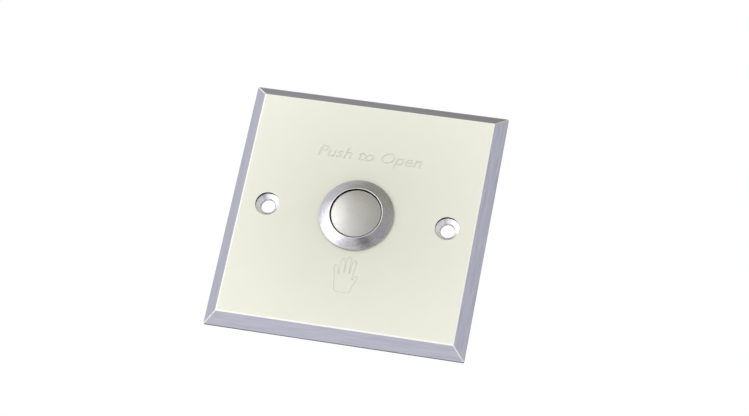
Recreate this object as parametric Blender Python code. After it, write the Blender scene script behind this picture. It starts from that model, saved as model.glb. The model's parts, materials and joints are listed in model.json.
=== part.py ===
"""Wall plate push button for letting oneself out of a door.

A bevelled aluminium plate for a square wall box carries a metal momentary switch. The plate's back lies in
the plane Y = 0, its face looks towards -Y, and the button's axis is the Y axis. Units are metres.
"""

import math

import bmesh
import bpy

MM = 0.001

# Clearances
SEAT = 0.2 * MM  # between two faces that rest on each other
RUNNING = 0.3 * MM  # round a piece that slides
BARREL_PLAY = 0.3 * MM  # round the barrel in the plate's hole
CONTACT_PLAY = 0.1 * MM  # left between the contacts when the button is fully pressed

# Plate
PLATE_SIDE = 86.0 * MM
PLATE_EDGE = 1.0 * MM  # upright edge below the bevel
BEVEL_RUN = 4.0 * MM
BEVEL_RISE = 3.8 * MM
ARRIS = 0.25 * MM  # small flat along each corner line of the plate
FACE_WALL = 3.3 * MM
RIM_WIDTH = 5.0 * MM
RECESS_CORNER = 3.0 * MM
SCREW_PITCH = 60.3 * MM
SCREW_BORE = 4.8 * MM
SCREW_SINK = 8.0 * MM
SCREW_STEP = 0.7 * MM

# Bezel and barrel
BEZEL_LAND = 0.4 * MM  # flange outside the gasket's groove
BEZEL_EDGE = 0.6 * MM
BEZEL_RISE = 1.64 * MM
LIP_CHAMFER = 0.15 * MM
BARREL_WALL = 0.7 * MM  # from the snap ring's groove out to the thread's crest
BARREL_CHAMFER = 0.5 * MM
BARREL_TAIL = 0.8 * MM  # metal behind the snap ring's groove
GASKET_WIDTH = 0.5 * MM
GASKET_THICKNESS = 0.3 * MM

# Cap and its seal
CAP_DIAMETER = 16.6 * MM
CAP_CROWN = 0.9 * MM
CAP_SHOULDER = 0.35 * MM
CAP_SINK = 0.4 * MM  # the cap's rim lies this far below the bezel's lip
CAP_ROOF = 1.2 * MM
CAP_SKIRT = 0.55 * MM  # wall between the seal's groove and the hollow
CAP_CATCH = 0.5 * MM  # the collar reaches this far past the lip's bore
CAP_COLLAR = 1.2 * MM
TRAVEL = 2.5 * MM
SEAL_SECTION = 0.8 * MM
SEAL_FRONT_LAND = 1.0 * MM
SEAL_REAR_LAND = 0.3 * MM

# Nut and lock washer
NUT_WALL = 2.3 * MM  # metal at the middle of each flat
NUT_THICKNESS = 3.5 * MM
NUT_CHAMFER_ANGLE = 30.0
BORE_CHAMFER = 0.5 * MM
LOCK_RIM = 1.8 * MM
LOCK_THICKNESS = 0.8 * MM
LOCK_TOOTH = 1.3 * MM
LOCK_TWIST = 0.15 * MM
LOCK_TEETH = 12

# Plunger, spring and guide
PLUNGER_HEAD = 1.0 * MM
STEM_DIAMETER = 4.0 * MM
STEM_FLATS = 3.0 * MM
NECK_DIAMETER = 2.2 * MM
NECK_FLATS = 1.6 * MM
NECK_CORNER = 0.5 * MM  # of the keyed hole in the bridge
NECK_GROOVE = 1.4 * MM
NECK_TIP = 0.7 * MM
SPRING_DIAMETER = 9.2 * MM
SPRING_WIRE = 0.6 * MM
SPRING_TURNS = 5.0
SPRING_END_TURN = 0.75
GUIDE_THICKNESS = 1.4 * MM
GUIDE_HUB = 1.2 * MM
STACK_STEP = 0.3 * MM  # ledge in the barrel that the guide plate meets

# Moving contact
BRIDGE_THICKNESS = 0.4 * MM
BRIDGE_WIDTH = 3.2 * MM
TIP_DIAMETER = 2.2 * MM
TIP_HEIGHT = 0.5 * MM
TIP_SHANK = 1.0 * MM
TIP_TAIL = 0.25 * MM
TIP_TAIL_DIAMETER = 1.7 * MM
CLIP_REACH = 0.9 * MM  # from the neck out to the clip's edge
CLIP_THICKNESS = 0.5 * MM
CLIP_ARM = 0.6 * MM
CLIP_OPENING = 70.0

# Switch base and its ring
BASE_FLOOR = 1.6 * MM
BASE_REACH = 0.4 * MM  # the boss stands this far out of the barrel
BED_DEPTH = 0.4 * MM
BARRIER_THICKNESS = 1.0 * MM
BARRIER_LENGTH = 13.0 * MM
BARRIER_OVER_SCREW = 0.4 * MM
RING_THICKNESS = 0.8 * MM
RING_WIDTH = 1.2 * MM
RING_GRIP = 0.4 * MM
RING_OPENING = 34.0

# Fixed contacts and terminals
FIXED_HEAD = 0.6 * MM
FIXED_LIP = 0.4 * MM  # head and tail reach this far past the shank
FIXED_SHANK = 1.6 * MM
FIXED_TAIL = 0.5 * MM
TERMINAL_AIR = 0.6 * MM  # between the barrier and a screw's head
TERMINAL_EDGE = 0.2 * MM  # plate beside the collar
TERMINAL_THICKNESS = 0.8 * MM
TERMINAL_CORNER = 1.5 * MM
TERMINAL_MARGIN = 1.5 * MM  # plate above the rivet
TERMINAL_LUG = 2.2 * MM  # plate below the screw
TERMINAL_DROP = 4.2 * MM  # rivet to screw
COLLAR_WALL = 0.4 * MM
COLLAR_DEPTH = 1.2 * MM
SCREW_SHANK = 2.9 * MM
SCREW_LENGTH = 5.0 * MM
SCREW_HEAD = 5.2 * MM
SCREW_HEAD_HEIGHT = 1.8 * MM
SCREW_HEAD_ROUND = 0.5 * MM
SCREW_CROSS = 3.0 * MM
SCREW_CROSS_WIDTH = 0.7 * MM
SCREW_CROSS_DEPTH = 1.0 * MM
CLAMP_SIDE = 4.8 * MM
CLAMP_THICKNESS = 0.6 * MM
CLAMP_CORNER = 0.6 * MM

# Mesh: corners closer than the weld are one, and edges sharper than the angle stay crisp
WELD = 0.001 * MM
SHARP_ANGLE = 30.0

# Number of facets round a piece
FINE = 48
MEDIUM = 32
COARSE = 16

# Radii that follow from those sizes
CAP_RADIUS = CAP_DIAMETER / 2
LIP_RADIUS = CAP_RADIUS + RUNNING
CATCH_RADIUS = LIP_RADIUS + CAP_CATCH
CHAMBER_RADIUS = CATCH_RADIUS + RUNNING
STACK_BORE = CHAMBER_RADIUS + STACK_STEP
STACK_RADIUS = STACK_BORE - SEAT
RING_RADIUS = STACK_BORE + RING_GRIP
GROOVE_RADIUS = RING_RADIUS + SEAT
BARREL_RADIUS = GROOVE_RADIUS + BARREL_WALL
GASKET_RADIUS = BARREL_RADIUS + SEAT + GASKET_WIDTH
BEZEL_RADIUS = GASKET_RADIUS + SEAT + BEZEL_LAND
BOSS_RADIUS = RING_RADIUS - RING_WIDTH - SEAT
SEAL_FLOOR = CAP_RADIUS - SEAL_SECTION - SEAT
SEAL_CENTRE = SEAL_FLOOR + SEAT + SEAL_SECTION / 2
HOLLOW_RADIUS = SEAL_FLOOR - CAP_SKIRT
HUB_RADIUS = (SPRING_DIAMETER - SPRING_WIRE) / 2 - RUNNING
COLLAR_BORE = SCREW_SHANK / 2 + SEAT
COLLAR_RADIUS = COLLAR_BORE + COLLAR_WALL
TERMINAL_HALF = COLLAR_RADIUS + TERMINAL_EDGE
CLIP_RADIUS = NECK_DIAMETER / 2 + CLIP_REACH
CONTACT_X = BARRIER_THICKNESS / 2 + TERMINAL_AIR + SCREW_HEAD / 2

# Places along Y, from the front to the back
PLATE_FACE = -(PLATE_EDGE + BEVEL_RISE)
RECESS_FLOOR = PLATE_FACE + FACE_WALL
FLANGE_BACK = PLATE_FACE - SEAT
LIP_FRONT = FLANGE_BACK - BEZEL_EDGE - BEZEL_RISE
CAP_RIM = LIP_FRONT + CAP_SINK
SEAL_FRONT = CAP_RIM + SEAL_FRONT_LAND
SEAL_REAR = SEAL_FRONT + SEAL_SECTION + 2 * SEAT
COLLAR_FRONT = SEAL_REAR + SEAL_REAR_LAND + TRAVEL
LIP_END = COLLAR_FRONT - SEAT
COLLAR_REAR = COLLAR_FRONT + CAP_COLLAR
HOLLOW_ROOF = CAP_RIM + CAP_ROOF
PLUNGER_FRONT = HOLLOW_ROOF + SEAT
HEAD_REAR = PLUNGER_FRONT + PLUNGER_HEAD
CHAMBER_END = COLLAR_REAR + TRAVEL + RUNNING
GUIDE_FRONT = CHAMBER_END + SEAT
GUIDE_REAR = GUIDE_FRONT + GUIDE_THICKNESS
BASE_FRONT = GUIDE_REAR + SEAT
TIP_FRONT = GUIDE_REAR + RUNNING
BRIDGE_FRONT = TIP_FRONT + TIP_TAIL + SEAT
BRIDGE_REAR = BRIDGE_FRONT + BRIDGE_THICKNESS
TIP_FACE = BRIDGE_REAR + SEAT + TIP_HEIGHT
CLIP_FRONT = BRIDGE_REAR + SEAT
CLIP_REAR = CLIP_FRONT + CLIP_THICKNESS
STEM_END = CLIP_REAR + SEAT + NECK_TIP
FIXED_FACE = TIP_FACE + TRAVEL + CONTACT_PLAY
SLOT_FLOOR = FIXED_FACE + FIXED_HEAD + SEAT
POCKET_FLOOR = STEM_END + TRAVEL + RUNNING
SHOULDER_REAR = max(SLOT_FLOOR, POCKET_FLOOR) + BASE_FLOOR
RING_FRONT = SHOULDER_REAR + SEAT
RING_REAR = RING_FRONT + RING_THICKNESS
BARREL_END = RING_REAR + SEAT + BARREL_TAIL
BOSS_REAR = BARREL_END + BASE_REACH
BED_FLOOR = BOSS_REAR - BED_DEPTH
TERMINAL_FRONT = BED_FLOOR + SEAT
TERMINAL_REAR = TERMINAL_FRONT + TERMINAL_THICKNESS
CLAMP_FRONT = TERMINAL_REAR + SEAT
HEAD_SEAT = CLAMP_FRONT + CLAMP_THICKNESS + SEAT
SCREW_BACK = HEAD_SEAT + SCREW_HEAD_HEIGHT


# Small shared steps
def linear(code):
    """The linear colour of an sRGB hex code."""
    parts = [int(code[i : i + 2], 16) / 255 for i in (0, 2, 4)]
    return [p / 12.92 if p <= 0.04045 else ((p + 0.055) / 1.055) ** 2.4 for p in parts] + [1.0]


def finish(name, code, metallic, roughness):
    """A plain Principled material, made once for each name."""
    material = bpy.data.materials.get(name) or bpy.data.materials.new(name)
    material.use_nodes = True
    shader = material.node_tree.nodes["Principled BSDF"]
    shader.inputs["Base Color"].default_value = linear(code)
    shader.inputs["Metallic"].default_value = metallic
    shader.inputs["Roughness"].default_value = roughness
    return material


def add_piece(name, shape, material=None, place=(0, 0, 0), parent=None):
    """Turns a bmesh into a named object that stands at its place."""
    bmesh.ops.remove_doubles(shape, verts=shape.verts, dist=WELD)
    bmesh.ops.recalc_face_normals(shape, faces=shape.faces)
    mesh = bpy.data.meshes.new(name)
    shape.to_mesh(mesh)
    shape.free()
    mesh.shade_smooth()
    mesh.set_sharp_from_angle(angle=math.radians(SHARP_ANGLE))
    if material:
        mesh.materials.append(material)
    piece = bpy.data.objects.new(name, mesh)
    bpy.context.collection.objects.link(piece)
    piece.parent = parent
    piece.location = place
    return piece


def turned(profile, facets):
    """A solid of revolution about Y. The profile is a closed outline of (radius, depth) points."""
    shape = bmesh.new()
    points = [shape.verts.new((radius, depth, 0)) for radius, depth in profile]
    edges = [
        shape.edges.new((a, b))
        for a, b in zip(points, points[1:] + points[:1])
        if a.co.x > 0 or b.co.x > 0
    ]
    bmesh.ops.spin(
        shape,
        geom=points + edges,
        cent=(0, 0, 0),
        axis=(0, 1, 0),
        angle=math.tau,
        steps=facets,
        use_merge=True,
    )
    return shape


def rod(radius, near, far):
    """The profile of a plain round bar."""
    return [(0, near), (radius, near), (radius, far), (0, far)]


def lofted(*sections):
    """A solid through closed outlines of (x, z) points, each given with its depth."""
    shape = bmesh.new()
    rings = [[shape.verts.new((x, depth, z)) for x, z in outline] for outline, depth in sections]
    shape.faces.new(rings[0])
    shape.faces.new(rings[-1])
    for near, far in zip(rings, rings[1:]):
        for corners in zip(near, near[1:] + near[:1], far[1:] + far[:1], far):
            shape.faces.new(corners)
    return shape


def prism(outline, near, far):
    """The closed (x, z) outline drawn out along Y from near to far."""
    return lofted((outline, near), (outline, far))


def rounded(half_x, half_z, corner, centre=(0, 0), steps=4):
    """The outline of a rectangle with rounded corners."""
    outline = []
    for quarter, (side_x, side_z) in enumerate(((1, 1), (-1, 1), (-1, -1), (1, -1))):
        for step in range(steps + 1):
            angle = (quarter + step / steps) * math.pi / 2
            x = side_x * (half_x - corner) + corner * math.cos(angle)
            z = side_z * (half_z - corner) + corner * math.sin(angle)
            outline.append((centre[0] + x, centre[1] + z))
    return outline


def flat_ring(radii, thickness, opening=0.0):
    """A flat ring from (inner, outer) radii spaced evenly round it, open at the bottom by so many degrees."""
    shape = bmesh.new()
    spans = len(radii) - 1 if opening else len(radii)
    rows = []
    for index, (inner, outer) in enumerate(radii):
        angle = math.radians(-90 + opening / 2 + index * (360 - opening) / spans)
        across, up = math.cos(angle), math.sin(angle)
        rows.append([shape.verts.new((r * across, 0, r * up)) for r in (inner, outer)])
    for (a, b), (c, d) in zip(rows, rows[1:] if opening else rows[1:] + rows[:1]):
        shape.faces.new((a, b, d, c))
    drawn = bmesh.ops.extrude_face_region(shape, geom=shape.faces[:])
    moved = [item for item in drawn["geom"] if isinstance(item, bmesh.types.BMVert)]
    bmesh.ops.translate(shape, verts=moved, vec=(0, thickness, 0))
    return shape


def mill_flats(shape, across, within, behind=-1.0):
    """Two flats, parallel to X, on all that lies nearer the axis than one radius and behind one depth."""
    for point in shape.verts:
        if math.hypot(point.co.x, point.co.z) <= within and point.co.y > behind:
            point.co.z = max(-across / 2, min(across / 2, point.co.z))


def carve(target, tool, operation="DIFFERENCE"):
    """Cuts a hidden tool out of the target, or joins it on. The tool keeps the target's own frame."""
    cutter = add_piece(f"{target.name}_tool", tool, parent=target)
    cutter.hide_render = True
    cutter.display_type = "WIRE"
    modifier = target.modifiers.new(operation.title(), "BOOLEAN")
    modifier.operation = operation
    modifier.object = cutter
    modifier.solver = "EXACT"


def arc(centre, radius, start, end, steps):
    """Points of a profile's arc about (radius, depth), with angles in degrees from the +radius direction."""
    angles = [math.radians(start + (end - start) * step / steps) for step in range(steps + 1)]
    return [(centre[0] + radius * math.cos(a), centre[1] + radius * math.sin(a)) for a in angles]


# Wall plate
def make_face_plate():
    """One aluminium plate: bevelled front with mitred corners, a recess behind a flat rim, three holes."""
    half = PLATE_SIDE / 2
    face = half - BEVEL_RUN
    fall = ARRIS * BEVEL_RISE / BEVEL_RUN
    shape = lofted(
        (rounded(face - ARRIS, face - ARRIS, ARRIS, steps=1), PLATE_FACE),
        (rounded(face + ARRIS, face + ARRIS, ARRIS, steps=1), PLATE_FACE + fall),
        (rounded(half, half, ARRIS, steps=1), -PLATE_EDGE),
        (rounded(half, half, ARRIS, steps=1), 0),
    )
    plate = add_piece("face_plate", shape, finish("satin_cream_aluminium", "E0E1D2", 0.0, 0.45))
    inner = half - RIM_WIDTH
    carve(plate, prism(rounded(inner, inner, RECESS_CORNER), RECESS_FLOOR, PLATE_EDGE))
    hole = BARREL_RADIUS + BARREL_PLAY
    reach = PLATE_EDGE
    carve(plate, turned([(0, PLATE_FACE - reach), (hole, PLATE_FACE - reach), (hole, 0), (0, 0)], FINE))
    bore, sink = SCREW_BORE / 2, SCREW_SINK / 2
    cone_end = PLATE_FACE + SCREW_STEP + sink - bore
    countersink = [
        (0, PLATE_FACE - reach),
        (sink, PLATE_FACE - reach),
        (sink, PLATE_FACE + SCREW_STEP),
        (bore, cone_end),
        (bore, 0),
        (0, 0),
    ]
    for side in (-1, 1):
        tool = turned(countersink, MEDIUM)
        bmesh.ops.translate(tool, verts=tool.verts, vec=(side * SCREW_PITCH / 2, 0, 0))
        carve(plate, tool)


# Fixed pieces of the button's shell
def make_button_housing():
    """Bezel and threaded barrel turned from one bar, bored in steps for the cap, the guide and the base."""
    groove_floor = FLANGE_BACK - GASKET_THICKNESS - SEAT
    groove_wall = GASKET_RADIUS + SEAT
    profile = [
        (BEZEL_RADIUS, FLANGE_BACK),
        (BEZEL_RADIUS, FLANGE_BACK - BEZEL_EDGE),
        (LIP_RADIUS + LIP_CHAMFER, LIP_FRONT),
        (LIP_RADIUS, LIP_FRONT + LIP_CHAMFER),
        (LIP_RADIUS, LIP_END),
        (CHAMBER_RADIUS, LIP_END),
        (CHAMBER_RADIUS, CHAMBER_END),
        (STACK_BORE, CHAMBER_END),
        (STACK_BORE, SHOULDER_REAR),
        (GROOVE_RADIUS, SHOULDER_REAR),
        (GROOVE_RADIUS, RING_REAR + SEAT),
        (STACK_BORE, RING_REAR + SEAT),
        (STACK_BORE, BARREL_END),
        (BARREL_RADIUS - BARREL_CHAMFER, BARREL_END),
        (BARREL_RADIUS, BARREL_END - BARREL_CHAMFER),
        (BARREL_RADIUS, groove_floor),
        (groove_wall, groove_floor),
        (groove_wall, FLANGE_BACK),
    ]
    add_piece("button_housing", turned(profile, FINE), finish("satin_silver_bezel", "A8A6AE", 1.0, 0.32))


def make_flange_gasket():
    """Flat rubber ring that the flange's groove keeps round the barrel."""
    inner = GASKET_RADIUS - GASKET_WIDTH
    front = FLANGE_BACK - GASKET_THICKNESS
    profile = [
        (inner, front),
        (GASKET_RADIUS, front),
        (GASKET_RADIUS, FLANGE_BACK),
        (inner, FLANGE_BACK),
    ]
    add_piece("flange_gasket", turned(profile, MEDIUM), finish("black_rubber", "1C1C1D", 0.0, 0.75))


def make_lock_washer():
    """Stamped washer whose inner teeth are twisted out of its plane."""
    tip = BARREL_RADIUS + SEAT
    root = tip + LOCK_TOOTH
    outer = root + LOCK_RIM
    radii = [(tip, outer), (tip, outer), (root, outer), (root, outer)] * LOCK_TEETH
    shape = flat_ring(radii, LOCK_THICKNESS)
    tooth = math.tau / LOCK_TEETH
    for point in shape.verts:
        if math.hypot(point.co.x, point.co.z) < (tip + root) / 2:
            turn = (math.atan2(point.co.z, point.co.x) + math.pi / 2) % tooth
            point.co.y += LOCK_TWIST if turn > tooth / 8 and turn < tooth / 2 else -LOCK_TWIST
    place = (0, RECESS_FLOOR + SEAT + LOCK_TWIST, 0)
    add_piece("lock_washer", shape, finish("zinc_plated_steel", "9C9DA0", 1.0, 0.35), place)


def make_mounting_nut():
    """Thin hexagon nut: a six-sided bar with its bore and chamfers turned on."""
    bore = BARREL_RADIUS + SEAT
    flat = bore + NUT_WALL
    corner = flat / math.cos(math.pi / 6)
    hexagon = [(corner * math.cos(k * math.pi / 3), corner * math.sin(k * math.pi / 3)) for k in range(6)]
    front = RECESS_FLOOR + 2 * (SEAT + LOCK_TWIST) + LOCK_THICKNESS
    material = finish("nickel_plated_brass", "B4B1A8", 1.0, 0.28)
    nut = add_piece("mounting_nut", prism(hexagon, 0, NUT_THICKNESS), material, (0, front, 0))
    past = corner + BORE_CHAMFER
    drop = (past - flat) * math.tan(math.radians(NUT_CHAMFER_ANGLE))
    blank = [
        (bore + BORE_CHAMFER, 0),
        (flat, 0),
        (past, drop),
        (past, NUT_THICKNESS - drop),
        (flat, NUT_THICKNESS),
        (bore + BORE_CHAMFER, NUT_THICKNESS),
        (bore, NUT_THICKNESS - BORE_CHAMFER),
        (bore, BORE_CHAMFER),
    ]
    carve(nut, turned(blank, MEDIUM), "INTERSECT")


# Pieces that move with the button
def make_button_cap(slide):
    """Domed cap with a groove for its seal and a collar that the bezel's lip catches."""
    flat = CAP_RADIUS - CAP_SHOULDER
    dome = (flat**2 + CAP_CROWN**2) / (2 * CAP_CROWN)
    crown = [
        (r, CAP_RIM - CAP_CROWN + dome - math.sqrt(dome**2 - r**2))
        for r in (flat * step / 5 for step in range(5))
    ]
    profile = crown + [
        *arc((flat, CAP_RIM + CAP_SHOULDER), CAP_SHOULDER, -90, 0, 3),
        (CAP_RADIUS, SEAL_FRONT),
        (SEAL_FLOOR, SEAL_FRONT),
        (SEAL_FLOOR, SEAL_REAR),
        (CAP_RADIUS, SEAL_REAR),
        (CAP_RADIUS, COLLAR_FRONT),
        (CATCH_RADIUS, COLLAR_FRONT),
        (CATCH_RADIUS, COLLAR_REAR),
        (HOLLOW_RADIUS, COLLAR_REAR),
        (HOLLOW_RADIUS, HOLLOW_ROOF),
        (0, HOLLOW_ROOF),
    ]
    add_piece("button_cap", turned(profile, FINE), finish("satin_cap", "B4B3AC", 1.0, 0.3), parent=slide)


def make_cap_seal_ring(slide):
    """Rubber ring of round section in the cap's groove."""
    section = arc((SEAL_CENTRE, (SEAL_FRONT + SEAL_REAR) / 2), SEAL_SECTION / 2, 0, 360, 6)[:-1]
    add_piece("cap_seal_ring", turned(section, MEDIUM), finish("seal_rubber", "242426", 0.0, 0.6), parent=slide)


def make_plunger(slide):
    """Moulded head and stem. Flats on the stem keep the contact bridge in line."""
    head = HOLLOW_RADIUS - RUNNING
    stem, neck, groove = STEM_DIAMETER / 2, NECK_DIAMETER / 2, NECK_GROOVE / 2
    shoulder = BRIDGE_FRONT - SEAT
    profile = [
        (0, PLUNGER_FRONT),
        (head, PLUNGER_FRONT),
        (head, HEAD_REAR),
        (stem, HEAD_REAR),
        (stem, shoulder),
        (neck, shoulder),
        (neck, BRIDGE_REAR),
        (groove, BRIDGE_REAR),
        (groove, CLIP_REAR + SEAT),
        (neck, CLIP_REAR + SEAT),
        (neck, STEM_END),
        (0, STEM_END),
    ]
    shape = turned(profile, MEDIUM)
    mill_flats(shape, STEM_FLATS, (head + stem) / 2)
    mill_flats(shape, NECK_FLATS, (stem + neck) / 2, (HEAD_REAR + shoulder) / 2)
    add_piece("plunger", shape, finish("white_nylon", "E4E2DA", 0.0, 0.45), parent=slide)


def make_contact_bridge(slide):
    """Brass strip across the plunger's neck, with a hole for it and one for each rivet."""
    half = CONTACT_X + BRIDGE_WIDTH / 2
    strip = prism(rounded(half, BRIDGE_WIDTH / 2, BRIDGE_WIDTH / 2 - SEAT), BRIDGE_FRONT, BRIDGE_REAR)
    bridge = add_piece("contact_bridge", strip, finish("spring_brass", "C9A85C", 1.0, 0.3), parent=slide)
    key = (NECK_DIAMETER / 2 + SEAT, NECK_FLATS / 2 + SEAT)
    slot = prism(rounded(*key, corner=NECK_CORNER), GUIDE_REAR, STEM_END)
    carve(bridge, slot)
    for side in (-1, 1):
        hole = turned(rod(TIP_SHANK / 2 + SEAT, GUIDE_REAR, STEM_END), COARSE)
        bmesh.ops.translate(hole, verts=hole.verts, vec=(side * CONTACT_X, 0, 0))
        carve(bridge, hole)


def make_bridge_contact(slide, name, side):
    """Silver rivet: a small tail in front of the bridge and the contact head behind it."""
    shank, head = TIP_SHANK / 2, TIP_DIAMETER / 2
    tail_back = TIP_FRONT + TIP_TAIL
    head_front = BRIDGE_REAR + SEAT
    profile = [
        (0, TIP_FRONT),
        (TIP_TAIL_DIAMETER / 2, TIP_FRONT),
        (TIP_TAIL_DIAMETER / 2, tail_back),
        (shank, tail_back),
        (shank, head_front),
        (head, head_front),
        (head, TIP_FACE - TIP_HEIGHT / 2),
        (head - TIP_HEIGHT / 2, TIP_FACE),
        (0, TIP_FACE),
    ]
    place = (side * CONTACT_X, 0, 0)
    add_piece(name, turned(profile, COARSE), finish("contact_silver", "D6D6D2", 1.0, 0.25), place, slide)


def make_stem_clip(slide):
    """E-clip: a flat open ring whose three inner lobes sit in the neck's groove."""
    grip = NECK_GROOVE / 2 + SEAT
    wide = CLIP_RADIUS - CLIP_ARM
    side = [grip, grip, wide, wide, wide, wide, wide]
    radii = [(inner, CLIP_RADIUS) for inner in side + [grip, grip, grip] + side[::-1]]
    shape = flat_ring(radii, CLIP_THICKNESS, CLIP_OPENING)
    add_piece("stem_clip", shape, finish("spring_steel", "7E8085", 1.0, 0.35), (0, CLIP_FRONT, 0), slide)


def make_return_spring():
    """Compression spring between the plunger's head and the guide plate, with closed end turns."""
    reach = SPRING_WIRE / 2 + SEAT
    front, back = HEAD_REAR + reach, GUIDE_FRONT - reach
    closed_rise = SPRING_END_TURN * (SPRING_WIRE + SEAT / 2)
    active = SPRING_TURNS - 2 * SPRING_END_TURN
    steps = int(SPRING_TURNS * COARSE)
    curve = bpy.data.curves.new("return_spring", "CURVE")
    curve.dimensions = "3D"
    curve.bevel_depth = SPRING_WIRE / 2
    curve.bevel_resolution = 1
    curve.use_fill_caps = True
    spline = curve.splines.new("POLY")
    spline.points.add(steps)
    for index, point in enumerate(spline.points):
        turn = SPRING_TURNS * index / steps
        low = min(turn, SPRING_END_TURN) / SPRING_END_TURN
        high = max(0.0, turn - SPRING_TURNS + SPRING_END_TURN) / SPRING_END_TURN
        middle = (turn - SPRING_END_TURN * (low + high)) / active
        depth = front + closed_rise * (low + high) + (back - front - 2 * closed_rise) * middle
        angle = math.tau * turn
        radius = SPRING_DIAMETER / 2
        point.co = (radius * math.cos(angle), depth, radius * math.sin(angle), 1)
    curve.materials.append(finish("spring_wire", "A6A7A9", 1.0, 0.25))
    bpy.context.collection.objects.link(bpy.data.objects.new("return_spring", curve))


# Pieces inside and behind the barrel
def make_guide_plate():
    """Disc that guides the stem. Its hub centres the spring."""
    hole = STEM_DIAMETER / 2 + RUNNING
    profile = [
        (hole, GUIDE_FRONT - GUIDE_HUB),
        (HUB_RADIUS, GUIDE_FRONT - GUIDE_HUB),
        (HUB_RADIUS, GUIDE_FRONT),
        (STACK_RADIUS, GUIDE_FRONT),
        (STACK_RADIUS, GUIDE_REAR),
        (hole, GUIDE_REAR),
    ]
    shape = turned(profile, MEDIUM)
    mill_flats(shape, STEM_FLATS + 2 * RUNNING, (hole + HUB_RADIUS) / 2)
    add_piece("guide_plate", shape, finish("grey_nylon", "8C8E90", 0.0, 0.5))


def terminal_outline(x, margin=0.0):
    """The terminal plate's outline about its rivet at x, grown by a margin."""
    top, bottom = TERMINAL_MARGIN, -TERMINAL_DROP - TERMINAL_LUG
    half_z = (top - bottom) / 2 + margin
    corner = TERMINAL_CORNER + margin
    return rounded(TERMINAL_HALF + margin, half_z, corner, (x, (top + bottom) / 2))


def make_switch_base():
    """Black moulding: a shouldered plug with the contact chamber, terminal beds and a barrier."""
    profile = [
        (0, BASE_FRONT),
        (STACK_RADIUS, BASE_FRONT),
        (STACK_RADIUS, SHOULDER_REAR),
        (BOSS_RADIUS, SHOULDER_REAR),
        (BOSS_RADIUS, BOSS_REAR),
        (0, BOSS_REAR),
    ]
    base = add_piece("switch_base", turned(profile, FINE), finish("black_phenolic", "18191B", 0.0, 0.5))
    ahead = GUIDE_FRONT
    beyond = SCREW_BACK
    half_x = CONTACT_X + BRIDGE_WIDTH / 2 + RUNNING
    half_z = BRIDGE_WIDTH / 2 + RUNNING
    carve(base, prism(rounded(half_x, half_z, half_z - SEAT), ahead, SLOT_FLOOR))
    carve(base, turned(rod(CLIP_RADIUS + RUNNING, ahead, POCKET_FLOOR), MEDIUM))
    for side in (-1, 1):
        x = side * CONTACT_X
        rivet_hole = turned(rod(FIXED_SHANK / 2 + SEAT, BASE_FRONT, beyond), COARSE)
        bmesh.ops.translate(rivet_hole, verts=rivet_hole.verts, vec=(x, 0, 0))
        carve(base, rivet_hole)
        carve(base, prism(terminal_outline(x, SEAT), BED_FLOOR, beyond))
        screw_hole = turned(
            [
                (0, HEAD_SEAT - SCREW_LENGTH - RUNNING),
                (COLLAR_BORE, HEAD_SEAT - SCREW_LENGTH - RUNNING),
                (COLLAR_BORE, TERMINAL_FRONT - COLLAR_DEPTH - SEAT),
                (COLLAR_RADIUS + SEAT, TERMINAL_FRONT - COLLAR_DEPTH - SEAT),
                (COLLAR_RADIUS + SEAT, beyond),
                (0, beyond),
            ],
            COARSE,
        )
        bmesh.ops.translate(screw_hole, verts=screw_hole.verts, vec=(x, 0, -TERMINAL_DROP))
        carve(base, screw_hole)
    wall = rounded(BARRIER_THICKNESS / 2, BARRIER_LENGTH / 2, BARRIER_THICKNESS / 4, steps=2)
    carve(base, prism(wall, BOSS_REAR - BED_DEPTH, SCREW_BACK + BARRIER_OVER_SCREW), "UNION")


def make_base_snap_ring():
    """Open flat ring sprung into the barrel's groove behind the base."""
    pair = (RING_RADIUS - RING_WIDTH, RING_RADIUS)
    shape = flat_ring([pair] * MEDIUM, RING_THICKNESS, RING_OPENING)
    add_piece("base_snap_ring", shape, finish("spring_steel", "7E8085", 1.0, 0.35), (0, RING_FRONT, 0))


def make_fixed_contact(name, side):
    """Silver rivet clenched through the base and the terminal plate."""
    shank, head = FIXED_SHANK / 2, FIXED_SHANK / 2 + FIXED_LIP
    tail_front = TERMINAL_REAR + SEAT
    profile = [
        (0, FIXED_FACE),
        (head - FIXED_HEAD / 2, FIXED_FACE),
        (head, FIXED_FACE + FIXED_HEAD / 2),
        (head, FIXED_FACE + FIXED_HEAD),
        (shank, FIXED_FACE + FIXED_HEAD),
        (shank, tail_front),
        (head, tail_front),
        (head - FIXED_TAIL / 2, tail_front + FIXED_TAIL),
        (0, tail_front + FIXED_TAIL),
    ]
    place = (side * CONTACT_X, 0, 0)
    add_piece(name, turned(profile, COARSE), finish("contact_silver", "D6D6D2", 1.0, 0.25), place)


def make_terminal(name, side):
    """Brass plate with a drawn collar that is tapped for the screw, and a hole for the rivet."""
    plate = prism(terminal_outline(0), TERMINAL_FRONT, TERMINAL_REAR)
    place = (side * CONTACT_X, 0, 0)
    terminal = add_piece(name, plate, finish("terminal_brass", "C2A252", 1.0, 0.32), place)
    middle = (TERMINAL_FRONT + TERMINAL_REAR) / 2
    collar = turned(rod(COLLAR_RADIUS, TERMINAL_FRONT - COLLAR_DEPTH, middle), COARSE)
    bore = turned(rod(COLLAR_BORE, TERMINAL_FRONT - 2 * COLLAR_DEPTH, HEAD_SEAT), COARSE)
    for tool in (collar, bore):
        bmesh.ops.translate(tool, verts=tool.verts, vec=(0, 0, -TERMINAL_DROP))
    carve(terminal, collar, "UNION")
    carve(terminal, bore)
    carve(terminal, turned(rod(FIXED_SHANK / 2 + SEAT, BED_FLOOR, HEAD_SEAT), COARSE))


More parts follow.
